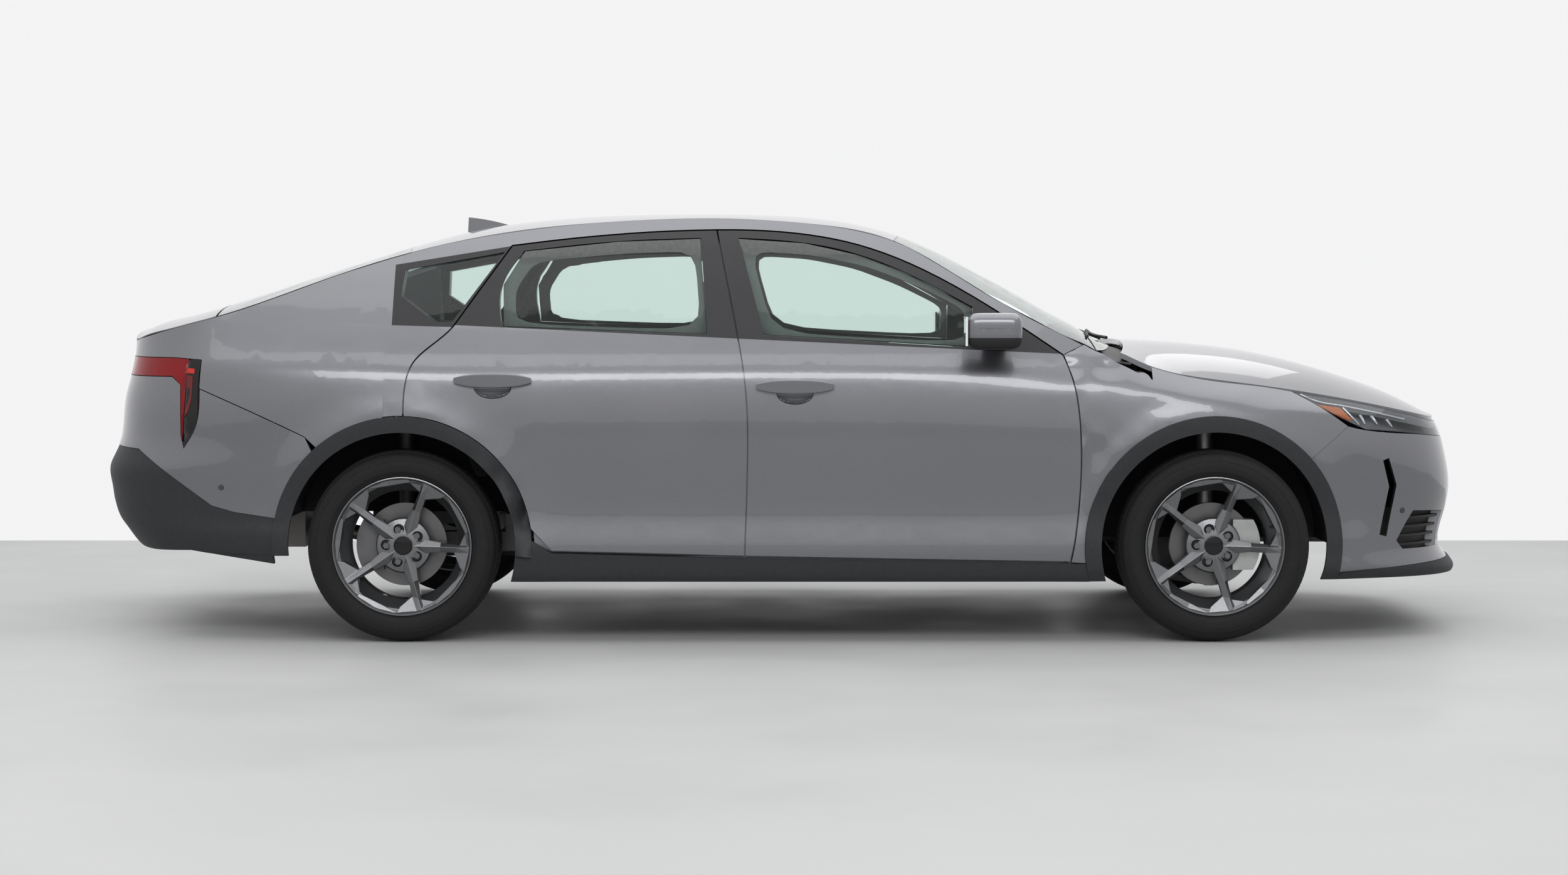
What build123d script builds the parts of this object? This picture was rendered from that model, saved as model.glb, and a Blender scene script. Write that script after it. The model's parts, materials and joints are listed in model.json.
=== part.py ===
"""A four-door fastback sedan as an assembly of separate pieces, in millimetres.

X points forwards, Y to the car's left and Z up. The origin is on the ground, under the middle of the car.
The body is described by a few skins: the sides, the front end, the rear end, the hood and the cabin top.
Each body panel is a layer under one of these skins, cut to the panel's outline.
"""

import math
import os
from functools import cache

import numpy as np
from build123d import *

# Overall sizes
LENGTH = 4710
WIDTH = 1850
ROOF_Z = 1450
WHEELBASE = 2720
FRONT_OVERHANG = 908
HALF_WIDTH = WIDTH / 2
NOSE_X = LENGTH / 2
TAIL_X = -LENGTH / 2
FRONT_AXLE_X = NOSE_X - FRONT_OVERHANG
REAR_AXLE_X = FRONT_AXLE_X - WHEELBASE

# Wheels
TRACK = 1570
TYRE_RADIUS = 322
TYRE_WIDTH = 215
RIM_WIDTH = 190
DISC_RADIUS = 140
DISC_THICKNESS = 22
WHEEL_Y = TRACK / 2
AXLE_Z = TYRE_RADIUS

# Panels
FIT = 0.4
GAP = 5.2
SEAT = 0.2
SKIN = 20
FRAME_SKIN = 12
FRAME_DEPTH = 44
FRAME_STEP = 18
PANEL = 24
GLASS = 5
GLASS_INSET = 5
DOOR_DEPTH = 100
WAIST_DROP = 4
RING_DEPTH = 26
RING_STEP = 36
ROOF_DEPTH = 28
FLOOR_Z = 210
FLOOR_DEPTH = 34
ARCH_RADIUS = 383
ARCH_TRIM = 54
ARCH_PROUD = 7
TRIM_DEPTH = 16

# Plan shape of the ends
NOSE_POWER = 4.7
TAIL_POWER = 5.0


def through(*points):
    """A smooth function through (position, value) points: a natural cubic spline, straight past its ends."""
    at = np.array([p[0] for p in points], float)
    value = np.array([p[1] for p in points], float)
    step = np.diff(at)
    rise = np.diff(value) / step
    count = len(at)
    matrix = np.zeros((count, count))
    right = np.zeros(count)
    matrix[0, 0] = matrix[-1, -1] = 1
    for i in range(1, count - 1):
        matrix[i, i - 1 : i + 2] = step[i - 1], 2 * (step[i - 1] + step[i]), step[i]
        right[i] = 6 * (rise[i] - rise[i - 1])
    bend = np.linalg.solve(matrix, right)
    first = rise[0] - step[0] * bend[1] / 6
    last = rise[-1] + step[-1] * bend[-2] / 6

    def curve(x):
        if x <= at[0]:
            return float(value[0] + first * (x - at[0]))
        if x >= at[-1]:
            return float(value[-1] + last * (x - at[-1]))
        i = min(int(np.searchsorted(at, x, "right")) - 1, count - 2)
        h = step[i]
        a = (at[i + 1] - x) / h
        b = 1 - a
        bow = ((a**3 - a) * bend[i] + (b**3 - b) * bend[i + 1]) * h * h / 6
        return float(a * value[i] + b * value[i + 1] + bow)

    return curve


def ease(t):
    """A smooth step from 0 to 1."""
    t = min(max(t, 0), 1)
    return t * t * (3 - 2 * t)


# The section of the side: height, and how far in from the widest point
side_inset = through(
    (150, 62), (215, 28), (290, 10), (350, 10), (410, 18), (480, 17), (580, 8), (700, 1), (800, 3),
    (865, 9), (903, 18), (935, 36), (1016, 82), (1100, 129), (1200, 187), (1300, 250), (1380, 308),
    (1450, 372), (1520, 450),
)  # fmt: skip
# How far the shoulder lies under its height at the middle of the car, by distance along the car
shoulder_drop = through(
    (-2300, -40), (-1950, -28), (-1250, 0), (-500, 0), (870, 24), (1450, 92), (1900, 165), (2300, 205),
)
# Where the nose and the tail end on the centre line, by height
nose_back = through(
    (150, 60), (205, 6), (235, 2), (275, 32), (330, 46), (420, 24), (520, 12), (620, 30), (700, 52),
    (760, 78), (900, 100),
)
tail_back = through(
    (150, 170), (270, 140), (330, 78), (410, 22), (500, 2), (590, 2), (635, 26), (700, 44), (810, 56),
    (930, 86), (1040, 90), (1200, 90),
)  # fmt: skip
# The centre line of the cabin top and of the hood, and their edges as seen from the side
cabin_centre = through(
    (-2290, ROOF_Z - 412), (-2215, ROOF_Z - 387), (-2090, ROOF_Z - 357), (-1960, ROOF_Z - 322),
    (-1690, ROOF_Z - 236),
    (-1410, ROOF_Z - 148), (-1130, ROOF_Z - 66), (-850, ROOF_Z - 22), (-560, ROOF_Z - 4), (-280, ROOF_Z),
    (0, ROOF_Z - 6),
    (220, ROOF_Z - 28), (420, ROOF_Z - 80), (710, ROOF_Z - 218), (860, ROOF_Z - 300), (1110, ROOF_Z - 440),
    (1240, ROOF_Z - 513),
)  # fmt: skip
cabin_edge = through(
    (-2290, ROOF_Z - 455), (-2090, ROOF_Z - 403), (-1880, ROOF_Z - 350), (-1560, ROOF_Z - 238),
    (-1260, ROOF_Z - 142),
    (-900, ROOF_Z - 68), (-560, ROOF_Z - 36), (-200, ROOF_Z - 26), (110, ROOF_Z - 46), (370, ROOF_Z - 100),
    (550, ROOF_Z - 196), (690, ROOF_Z - 284), (1003, ROOF_Z - 451), (1240, ROOF_Z - 570),
)  # fmt: skip
hood_centre = through(
    (1120, 1001), (1225, 1000), (1420, 990), (1700, 954), (1990, 876), (2160, 812), (2290, 742),
)
hood_edge = through(
    (1060, 992), (1120, 974), (1220, 930), (1400, 886), (1585, 862), (1850, 822), (2150, 763), (2290, 730),
)
HOOD_ROLL = 70
FLARE = 10
FLARE_SPREAD = 55
SIDE_BOW = 5e-6


def past_nose(z):
    return NOSE_X - nose_back(z)


def past_tail(z):
    return TAIL_X + tail_back(z)


def end_scale(x, z):
    """How much the plan shape narrows towards the nose and the tail: a superellipse."""
    reach, power = (past_nose(z), NOSE_POWER) if x > 0 else (-past_tail(z), TAIL_POWER)
    t = min(abs(x) / reach, 0.9995)
    return (1 - t**power) ** (1 / power)


def full_side(x, z):
    """Half width of the body at a place along it and a height, before its ends are rounded."""
    lifted = z + shoulder_drop(x) * ease((z - 480) / 380)
    half = HALF_WIDTH - side_inset(lifted) - SIDE_BOW * (x + 400) ** 2 / 2
    for axle in (FRONT_AXLE_X, REAR_AXLE_X):
        away = math.hypot(x - axle, z - AXLE_Z) - ARCH_RADIUS - ARCH_TRIM
        half += FLARE * math.exp(-((away / FLARE_SPREAD) ** 2))
    over = max(z - hood_edge(x) + HOOD_ROLL, 0)
    if x > 1000:
        roll = over * over / HOOD_ROLL if over < HOOD_ROLL else 2 * over - HOOD_ROLL
        half -= 0.35 * roll * ease((x - 1000) / 250) * ease((1450 - z) / 400)
    return half


def side(x, z):
    """Half width of the body's outer skin."""
    return full_side(x, z) * end_scale(x, z)


def steps(low, high, count):
    return [low + (high - low) * i / count for i in range(count + 1)]


def surface(grid):
    """A smooth face through a grid of points."""
    return Face.make_surface_from_array_of_points(grid, tol=1e-6)


@cache
def side_skin():
    """The outer skin of the right side, between the wheels, from under the sill to the roof."""
    return surface([[(x, -side(x, z), z) for z in steps(150, 1500, 27)] for x in steps(-1480, 1180, 24)])


def end_outline(sign, z, start, count):
    """Evenly spaced points round the right half of one end at a height, from the side to the centre line."""
    reach, power = (past_nose(z), NOSE_POWER) if sign > 0 else (-past_tail(z), TAIL_POWER)
    dense = []
    for angle in steps(0, math.pi / 2, 1200):
        x = reach * math.sin(angle) ** (2 / power)
        if x >= start:
            y = full_side(sign * x, z) * math.cos(angle) ** (2 / power)
            dense.append((sign * x, -y))
    dense = np.array(dense)
    along = np.concatenate([[0], np.cumsum(np.hypot(*np.diff(dense, axis=0).T))])
    at = np.linspace(0, along[-1], count + 1)
    return list(zip(np.interp(at, along, dense[:, 0]), np.interp(at, along, dense[:, 1])))


@cache
def end_skin(sign):
    """The outer skin of the right half of the front end (sign 1) or the rear end (sign -1)."""
    start, low, high, rows = (800, 150, 1060, 22) if sign > 0 else (820, 150, 1480, 28)
    return surface([[(x, y, z) for x, y in end_outline(sign, z, start, 30)] for z in steps(low, high, rows)])


CABIN_CROWN = 2.3
HOOD_CROWN = 2.6


def crowned(x, y, centre, edge, power):
    """Height of a top skin that falls from its centre line to its edges, at the body's side skin."""
    full = full_side(x, edge(x))
    share = max(side(x, edge(x)) / full, 0.6)
    fall = (centre(x) - edge(x)) / share**power
    return centre(x) - fall * abs(y / full) ** power


def cabin_half(x):
    return side(x, cabin_edge(x))


@cache
def cabin_skin():
    """The windshield, roof, rear window and deck as one skin."""
    grid = []
    for x in steps(-2290, 1240, 38):
        width = 1.06 * full_side(x, cabin_edge(x))
        ys = steps(-width, width, 18)
        grid.append([(x, y, crowned(x, y, cabin_centre, cabin_edge, CABIN_CROWN)) for y in ys])
    return surface(grid)


@cache
def hood_skin():
    """The outer skin of the hood."""
    ys = steps(-930, 930, 20)
    xs = steps(1000, 2330, 22)
    return surface([[(x, y, crowned(x, y, hood_centre, hood_edge, HOOD_CROWN)) for y in ys] for x in xs])


RIGHT_IN = Vector(0, 1, 0)
FRONT_IN = Vector(-1, 1, 0)
REAR_IN = Vector(1, 1, 0)
DOWN = Vector(0, 0, -1)


def layer(skin, into, depth, thickness, mode=Mode.ADD):
    """Adds the layer that starts depth under a skin and is thickness deep, both measured along into."""
    extrude(skin.translate(into * depth), amount=thickness * into.length, dir=into, mode=mode)


def save(part, name):
    part.label = name
    export_step(part, f"parts/{name}.step", write_pcurves=False)


# Side view of the door openings
DOOR_SPLIT = [(-126, 292), (-117, 578), (-131, 918), (-149, 1017), (-224, 1384)]
DOOR_FRONT = [(939, 962), (972, 866), (991, 735), (994, 526), (979, 370), (962, 272)]
FRAME_TOP_FRONT = [(-224, 1384), (-60, 1381), (73, 1369), (263, 1331), (453, 1259), (685, 1131), (939, 962)]
FRAME_TOP_REAR = [(-920, 1330), (-740, 1352), (-545, 1370), (-380, 1380), (-224, 1384)]
REAR_DOOR_TAIL = [(-920, 1330), (-1103, 1060)]
REAR_DOOR_BACK = [(-1103, 1060), (-1161, 1004), (-1226, 947), (-1252, 888), (-1262, 790)]
REAR_DOOR_FOOT = [(-835, 383), (-808, 341), (-770, 310)]
belt = through((-1300, 1064), (-1103, 1056), (-787, 1038), (-150, 1017), (600, 980), (939, 961))
ARCH_OUTER = ARCH_RADIUS + ARCH_TRIM


def arch_point(axle, angle, radius=ARCH_OUTER):
    turn = math.radians(angle)
    return (axle + radius * math.cos(turn), AXLE_Z + radius * math.sin(turn))


def angle_at(axle, radius, x):
    return math.degrees(math.acos((x - axle) / radius))


DOOR_TOP_ARC = arch_point(REAR_AXLE_X, angle_at(REAR_AXLE_X, ARCH_OUTER, REAR_DOOR_BACK[-1][0]))
DOOR_LOW_ARC = arch_point(REAR_AXLE_X, 8)
FRONT_DOOR_OUTLINE = [
    DOOR_SPLIT[::-1], [DOOR_SPLIT[0], DOOR_FRONT[-1]], DOOR_FRONT[::-1], FRAME_TOP_FRONT[::-1],
]
REAR_DOOR_OUTLINE = [
    DOOR_SPLIT,
    FRAME_TOP_REAR[::-1],
    REAR_DOOR_TAIL,
    [*REAR_DOOR_BACK[:-1], DOOR_TOP_ARC],
    [arch_point(REAR_AXLE_X, 8 + 82.5 * t / 6) for t in range(6, -1, -1)],
    [DOOR_LOW_ARC, REAR_DOOR_FOOT[-1]],
    [REAR_DOOR_FOOT[-1], DOOR_SPLIT[0]],
]


FRONT_GLASS = [(-62, 1028), (-150, 1356), (73, 1340), (264, 1298), (452, 1222), (640, 1122), (640, 986)]
REAR_GLASS = [(-252, 1030), (-278, 1356), (-560, 1345), (-878, 1312), (-948, 1195), (-942, 1054)]
QUARTER_GLASS = [(-1277, 1248), (-944, 1308), (-1110, 1072), (-1167, 1072), (-1287, 1157)]


FRONT_GLASS_OUTLINE = [FRONT_GLASS[:2], FRONT_GLASS[1:6], FRONT_GLASS[5:7], [FRONT_GLASS[6], FRONT_GLASS[0]]]
REAR_GLASS_OUTLINE = [REAR_GLASS[:2], REAR_GLASS[1:4], REAR_GLASS[3:6], [REAR_GLASS[5], REAR_GLASS[0]]]


def smooth(points, count=60):
    """Evenly spaced points on a smooth curve through a few points, or on a line through two."""
    points = np.array(points, float)
    along = np.concatenate([[0], np.cumsum(np.hypot(*np.diff(points, axis=0).T))])
    xs = through(*zip(along, points[:, 0]))
    zs = through(*zip(along, points[:, 1]))
    return np.array([(xs(t), zs(t)) for t in np.linspace(0, along[-1], count + 1)])


def moved(curve, distance):
    """A row of points moved to the right of its direction, and lengthened at both ends."""
    run = np.gradient(curve, axis=0)
    run /= np.hypot(*run.T)[:, None]
    side_step = curve + distance * np.column_stack([run[:, 1], -run[:, 0]])
    reach = 3 * abs(distance) + 5
    return np.vstack([side_step[0] - reach * run[0], side_step, side_step[-1] + reach * run[-1]])


def crossing(first, second):
    """Where the end of one row of points crosses the start of the next: both indices and the point."""
    for i in range(len(first) - 2, -1, -1):
        for j in range(len(second) - 1):
            p, r = first[i], first[i + 1] - first[i]
            q, t = second[j], second[j + 1] - second[j]
            across = r[0] * t[1] - r[1] * t[0]
            if abs(across) < 1e-9:
                continue
            u = ((q[0] - p[0]) * t[1] - (q[1] - p[1]) * t[0]) / across
            v = ((q[0] - p[0]) * r[1] - (q[1] - p[1]) * r[0]) / across
            if -1e-9 <= u <= 1 + 1e-9 and -1e-9 <= v <= 1 + 1e-9:
                return i, j, p + u * r
    raise ValueError("the strokes of an outline don't meet")


def grown(outline, grow):
    """The strokes of a closed outline, with its border moved out by grow."""
    curves = [smooth(stroke) for stroke in outline]
    loop = np.vstack([curve[:-1] for curve in curves])
    turned = np.roll(loop, -1, axis=0)
    clockwise = np.sum(loop[:, 0] * turned[:, 1] - turned[:, 0] * loop[:, 1]) < 0
    curves = [moved(curve, -grow if clockwise else grow) for curve in curves]
    meets = [crossing(curves[i - 1], curves[i]) for i in range(len(curves))]
    strokes = []
    for i, curve in enumerate(curves):
        _, first, start = meets[i]
        last, _, end = meets[(i + 1) % len(curves)]
        row = np.vstack([start, curve[first + 1 : last + 1], end])
        count = 1 if len(outline[i]) == 2 else max(len(outline[i]) + 1, 6)
        along = np.concatenate([[0], np.cumsum(np.hypot(*np.diff(row, axis=0).T))])
        at = np.linspace(0, along[-1], count + 1)
        strokes.append(list(zip(np.interp(at, along, row[:, 0]), np.interp(at, along, row[:, 1]))))
    return strokes


def area(outline, grow=0.0):
    """The flat region inside an outline of strokes, with its border moved out by grow."""
    strokes = grown(outline, grow) if grow else outline
    with BuildSketch(mode=Mode.PRIVATE) as drawn:
        with BuildLine():
            for points in strokes:
                if len(points) == 2:
                    Line(*points)
                else:
                    Spline(*points)
        make_face()
    return drawn.sketch_local


def polygon(*points):
    """The flat region inside straight lines."""
    return area([[a, b] for a, b in zip(points, [*points[1:], points[0]])])


def arch_area(axle, radius):
    """The disc of a wheel opening in the side view."""
    with BuildSketch(mode=Mode.PRIVATE) as drawn:
        with Locations((axle, AXLE_Z)):
            Circle(radius)
    return drawn.sketch_local


SIDE_VIEW = Plane.XZ
PLAN_VIEW = Plane.XY
FRONT_VIEW = Plane.YZ


def cut(region, view=SIDE_VIEW, mode=Mode.INTERSECT, start=0.0, length=2 * LENGTH):
    """Cuts the part with the prism that stands on a region of one view."""
    extrude(to_extrude=view.offset(start) * region, amount=length, dir=view.z_dir, mode=mode)


def left_of(part):
    return mirror(part, about=Plane.XZ)


def both_sides(right, name):
    """Saves a right-hand piece and its mirrored twin as two nodes."""
    save(right, f"{name}_right")
    save(left_of(right), f"{name}_left")


def pair(right, name):
    """Saves a right-hand piece and its mirrored twin as one node."""
    save(Compound(children=[*right.solids(), *left_of(right).solids()]), name)


def joined(half):
    """A half and its mirrored twin as one solid."""
    with BuildPart() as whole:
        add(half)
        add(mirror(half, about=Plane.XZ))
    return whole.part


os.makedirs("parts", exist_ok=True)

# Doors
HALF_GAP = GAP / 2
FRONT_BOX = polygon(
    (-64, 352), (-52, 578), (-66, 918), (-84, 1030), (905, 1030), (925, 866), (929, 735), (932, 526),
    (917, 370), (905, 334),
)  # fmt: skip
REAR_BOX = polygon(
    (-190, 354), (-179, 578), (-193, 918), (-212, 1030), (-1040, 1030), (-1125, 955), (-1170, 915),
    (-1190, 880),
    *[arch_point(REAR_AXLE_X, angle, ARCH_OUTER + 62) for angle in (81, 70, 60, 50, 40, 30, 20, 13)],
    (-700, 354),
)  # fmt: skip


def door(outline, glass_outline, box_area, tail_x, nose_x):
    """One right-hand door: the skin, the box behind it and the window frame."""
    shut = area(outline, -HALF_GAP)
    window = area(glass_outline, SEAT / 2)
    waist = [(x, belt(x) - WAIST_DROP) for x in steps(tail_x, nose_x, 6)]
    lower = polygon(*waist, (nose_x, 0), (tail_x, 0))
    upper = polygon(*waist, (nose_x, 2 * ROOF_Z), (tail_x, 2 * ROOF_Z))
    with BuildPart() as skin:
        layer(side_skin(), RIGHT_IN, 0, SKIN)
        cut(shut)
        cut(lower)
    with BuildPart() as rim:
        layer(side_skin(), RIGHT_IN, 0, FRAME_SKIN)
        cut(shut)
        cut(upper)
    with BuildPart() as frame:
        layer(side_skin(), RIGHT_IN, FRAME_SKIN, FRAME_DEPTH - FRAME_SKIN)
        cut(area(outline, -FRAME_STEP))
        cut(upper)
    with BuildPart() as box:
        layer(side_skin(), RIGHT_IN, SKIN, DOOR_DEPTH - SKIN)
        cut(box_area)
        cut(lower)
    with BuildPart() as whole:
        add([skin.part, rim.part, frame.part, box.part])
        cut(window, mode=Mode.SUBTRACT)
    with BuildPart() as pane:
        layer(side_skin(), RIGHT_IN, GLASS_INSET, GLASS)
        cut(area(glass_outline, -SEAT / 2))
    return whole.part, pane.part


front_door, front_pane = door(FRONT_DOOR_OUTLINE, FRONT_GLASS_OUTLINE, FRONT_BOX, -300, 1100)
rear_door, rear_pane = door(REAR_DOOR_OUTLINE, REAR_GLASS_OUTLINE, REAR_BOX, -1300, -100)
both_sides(front_door, "front_door")
both_sides(front_pane, "front_door_window")
both_sides(rear_door, "rear_door")
both_sides(rear_pane, "rear_door_window")


# Sides of the body: one piece each, from the windshield pillar to the tail
TOP_SKY = 300
SIDE_JOIN = -1330
SIDE_DEPTH = 100
PILLAR_DEPTH = 75
RING_NOSE = 942
FENDER_CLEAR = 8
LID_SIDE = 476
LID_FOOT = 700


def top_plan(margin, tail=-2262, nose=1238):
    """The outline of the cabin top seen from above, grown by margin."""
    bend = [math.sin(a * math.pi / 2) for a in steps(0, 1, 26)]
    right = [(nose + (tail - nose) * b, -cabin_half(nose + (tail - nose) * b) - margin) for b in bend]
    left = [(x, -y) for x, y in reversed(right)]
    return area([right, [right[-1], left[0]], left, [left[-1], right[0]]])


def above(skin, reach=TOP_SKY):
    """Everything up to some way above a top skin."""
    with BuildPart(mode=Mode.PRIVATE) as sky:
        extrude(skin, amount=reach, dir=(0, 0, 1))
    return sky.part


with BuildPart() as top_room:
    extrude(cabin_skin().translate(DOWN * (ROOF_DEPTH + SEAT)), amount=TOP_SKY, dir=(0, 0, 1))
    cut(top_plan(1.6), PLAN_VIEW)

RING_FRONT = polygon(
    (-90, 328), (-79, 578), (-93, 918), (-113, 1045), (938, 1045), (948, 900), (955, 735), (958, 526),
    (943, 370), (930, 310),
)  # fmt: skip
RING_REAR = polygon(
    (-164, 328), (-153, 578), (-167, 918), (-187, 1045), (-1070, 1045), (-1143, 975), (-1195, 930),
    (-1214, 885),
    *[arch_point(REAR_AXLE_X, angle, ARCH_OUTER + 36) for angle in (83, 70, 60, 50, 40, 30, 20, 10)],
    (-715, 328),
)  # fmt: skip
WAIST = [(x, belt(x) - WAIST_DROP) for x in steps(-1330, 1100, 12)]
BELOW_WAIST = polygon(*WAIST, (1100, 0), (-1330, 0))
BELOW_WAIST_CLEAR = polygon(*[(x, z - 2.5) for x, z in WAIST], (1100, 0), (-1330, 0))
ABOVE_WAIST = polygon(*[(x, z - 30) for x, z in WAIST], (1100, 2 * ROOF_Z), (-1330, 2 * ROOF_Z))
BAND = polygon(
    (1010, 1100), (1010, 997.5), (944, 966), (930, 940), (-1150, 940), (-1150, 700), (SIDE_JOIN, 700),
    (SIDE_JOIN, 1450), (600, 1450),
)  # fmt: skip
RING_OUTER = polygon(
    (RING_NOSE, 215), (RING_NOSE, 962), (1008, 996), (1010, 1100), (600, 1450), (SIDE_JOIN, 1450), (SIDE_JOIN, 215),
)  # fmt: skip
FENDER_SEAT = polygon((RING_NOSE, 215), (1075, 215), (1075, 955), (RING_NOSE, 957))
DOORS = [area(FRONT_DOOR_OUTLINE, HALF_GAP), area(REAR_DOOR_OUTLINE, HALF_GAP)]
REAR_FRAME_OUTLINE = [
    *REAR_DOOR_OUTLINE[1:3],
    [(-1103, 1060), (-1180, 960)],
    [(-1180, 960), (-120, 900)],
    [(-120, 900), *DOOR_SPLIT[2:]],
]
DOOR_FRAMES = [area(outline, -RING_STEP) for outline in (FRONT_DOOR_OUTLINE, REAR_FRAME_OUTLINE)]
SILL = polygon(
    (1000, 215), (1008, 250), (1008, 262), (962, 266), (-126, 286), (-828, 286), (-832, 240), (-826, 215),
)
REAR_ARCH_ROOM = arch_area(REAR_AXLE_X, ARCH_OUTER + 8)
FRONT_ARCH_ROOM = arch_area(FRONT_AXLE_X, ARCH_OUTER + 8)
QUARTER = area([
    [(SIDE_JOIN, 720), (SIDE_JOIN, 1450)],
    [(SIDE_JOIN, 1450), (-2400, 1150)],
    [(-2400, 1150), (-2400, 952)],
    [(-2400, 952), (-2058, 952)],
    [(-2058, 952), (-1955, 945)],
    [(-1955, 945), (-1960, 849)],
    [(-1960, 849), (-1800, 783), (-1595, 691)],
    [(-1595, 691), (-1540, 640)],
    [(-1540, 640), (SIDE_JOIN, 720)],
])  # fmt: skip
QUARTER_HOLE = polygon(*QUARTER_GLASS)
WAIST_HOLES = [
    hole & polygon(*[(x, z + 6) for x, z in WAIST], (1100, 0), (-1330, 0)) for hole in (RING_FRONT, RING_REAR)
]

with BuildPart() as band:
    layer(side_skin(), RIGHT_IN, 0, RING_DEPTH)
    cut(BAND)
    for opening in DOORS:
        cut(opening, mode=Mode.SUBTRACT)
    cut(arch_area(REAR_AXLE_X, ARCH_OUTER + HALF_GAP), mode=Mode.SUBTRACT)
with BuildPart() as quarter:
    layer(end_skin(-1), REAR_IN, 0, RING_DEPTH)
    cut(QUARTER)
    cut(arch_area(REAR_AXLE_X, ARCH_OUTER + FIT), mode=Mode.SUBTRACT)
    cut(polygon((-LID_SIDE - 1.6, 600), (LID_SIDE, 600), (LID_SIDE, 1500), (-LID_SIDE - 1.6, 1500)),
        FRONT_VIEW, Mode.SUBTRACT, start=-2400, length=300)  # fmt: skip
with BuildPart() as ring_low:
    layer(side_skin(), RIGHT_IN, PANEL + SEAT, SIDE_DEPTH - PANEL - SEAT)
    cut(RING_OUTER)
    cut(BELOW_WAIST)
    for opening in DOORS:
        cut(opening, mode=Mode.SUBTRACT)
with BuildPart() as fender_seat:
    layer(side_skin(), RIGHT_IN, PANEL + FENDER_CLEAR, SIDE_DEPTH - PANEL - FENDER_CLEAR)
    cut(FENDER_SEAT)
    cut(RING_FRONT, mode=Mode.SUBTRACT)
with BuildPart() as ring_high:
    layer(side_skin(), RIGHT_IN, PANEL + SEAT, PILLAR_DEPTH - PANEL - SEAT)
    cut(RING_OUTER)
    cut(ABOVE_WAIST)
    for opening in DOORS:
        cut(opening, mode=Mode.SUBTRACT)
with BuildPart() as surround_low:
    layer(side_skin(), RIGHT_IN, RING_DEPTH, SIDE_DEPTH - RING_DEPTH)
    cut(polygon((-1300, 230), (-1300, 1100), (RING_NOSE, 1100), (RING_NOSE, 230)))
    cut(BELOW_WAIST_CLEAR)
    cut(RING_FRONT, mode=Mode.SUBTRACT)
    cut(RING_REAR, mode=Mode.SUBTRACT)
with BuildPart() as surround_high:
    layer(side_skin(), RIGHT_IN, FRAME_DEPTH + 6, PILLAR_DEPTH - FRAME_DEPTH - 6)
    cut(RING_OUTER)
    cut(ABOVE_WAIST)
    for frame_hole in [*DOOR_FRAMES, *WAIST_HOLES]:
        cut(frame_hole, mode=Mode.SUBTRACT)
with BuildPart() as sill:
    layer(side_skin(), RIGHT_IN, TRIM_DEPTH - ARCH_PROUD + SEAT, SIDE_DEPTH - TRIM_DEPTH + ARCH_PROUD - SEAT)
    cut(SILL)
with BuildPart() as body_side:
    add([ring_low.part, fender_seat.part, surround_low.part, sill.part])
    cut(REAR_ARCH_ROOM, mode=Mode.SUBTRACT)
    cut(FRONT_ARCH_ROOM, mode=Mode.SUBTRACT)
    add([ring_high.part, surround_high.part, band.part, quarter.part])
    cut(QUARTER_HOLE, mode=Mode.SUBTRACT)
    add(above(cabin_skin()), mode=Mode.SUBTRACT)
    add(top_room.part, mode=Mode.SUBTRACT)
with BuildPart() as quarter_pane:
    layer(side_skin(), RIGHT_IN, GLASS_INSET, GLASS)
    cut(QUARTER_HOLE)
pair(body_side.part, "body_sides")
pair(quarter_pane.part, "quarter_windows")


# Top of the body
TOP_GAP = 0.4
WINDSHIELD_FOOT = [(1030, -900), (1165, 0), (1030, 900)]
WINDSHIELD_HEAD = [(345, 900), (412, 0), (345, -900)]
REAR_HEAD = [(-1235, 900), (-1298, 0), (-1235, -900)]
REAR_FOOT = [(-1895, -900), (-1945, 0), (-1895, 900)]


def across(front, back, gap=TOP_GAP):
    """The strip of the plan view between two curves that cross the car, less a gap at each."""
    start = [(x - gap, y) for x, y in (front if front[0][1] < 0 else front[::-1])]
    end = [(x + gap, y) for x, y in (back if back[0][1] > 0 else back[::-1])]
    return area([start, [start[-1], end[0]], end, [end[-1], start[0]]])


def top_panel(front, back, thickness, gap=TOP_GAP, margin=-TOP_GAP):
    """A piece of the cabin top between two crossing curves."""
    with BuildPart() as panel:
        layer(cabin_skin(), DOWN, 0, thickness)
        cut(top_plan(margin), PLAN_VIEW)
        cut(across(front, back, gap), PLAN_VIEW)
    return panel.part


save(top_panel(WINDSHIELD_FOOT, WINDSHIELD_HEAD, GLASS), "windshield")
save(top_panel(WINDSHIELD_HEAD, REAR_HEAD, ROOF_DEPTH), "roof_panel")
save(top_panel(REAR_HEAD, REAR_FOOT, GLASS), "rear_window")

FIN = [
    [(-1140, 1370), (-1136, 1441)],
    [(-1136, 1441), (-1070, 1432), (-965, 1405)],
    [(-965, 1405), (-965, 1370)],
    [(-965, 1370), (-1140, 1370)],
]
FIN_HALF = 14
with BuildPart() as roof_antenna:
    with BuildSketch(Plane.XZ.offset(-FIN_HALF)):
        add(area(FIN))
    extrude(amount=2 * FIN_HALF)
    extrude(cabin_skin().translate((0, 0, SEAT)), amount=TOP_SKY, dir=(0, 0, 1), mode=Mode.INTERSECT)
save(roof_antenna.part, "roof_antenna")

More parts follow.
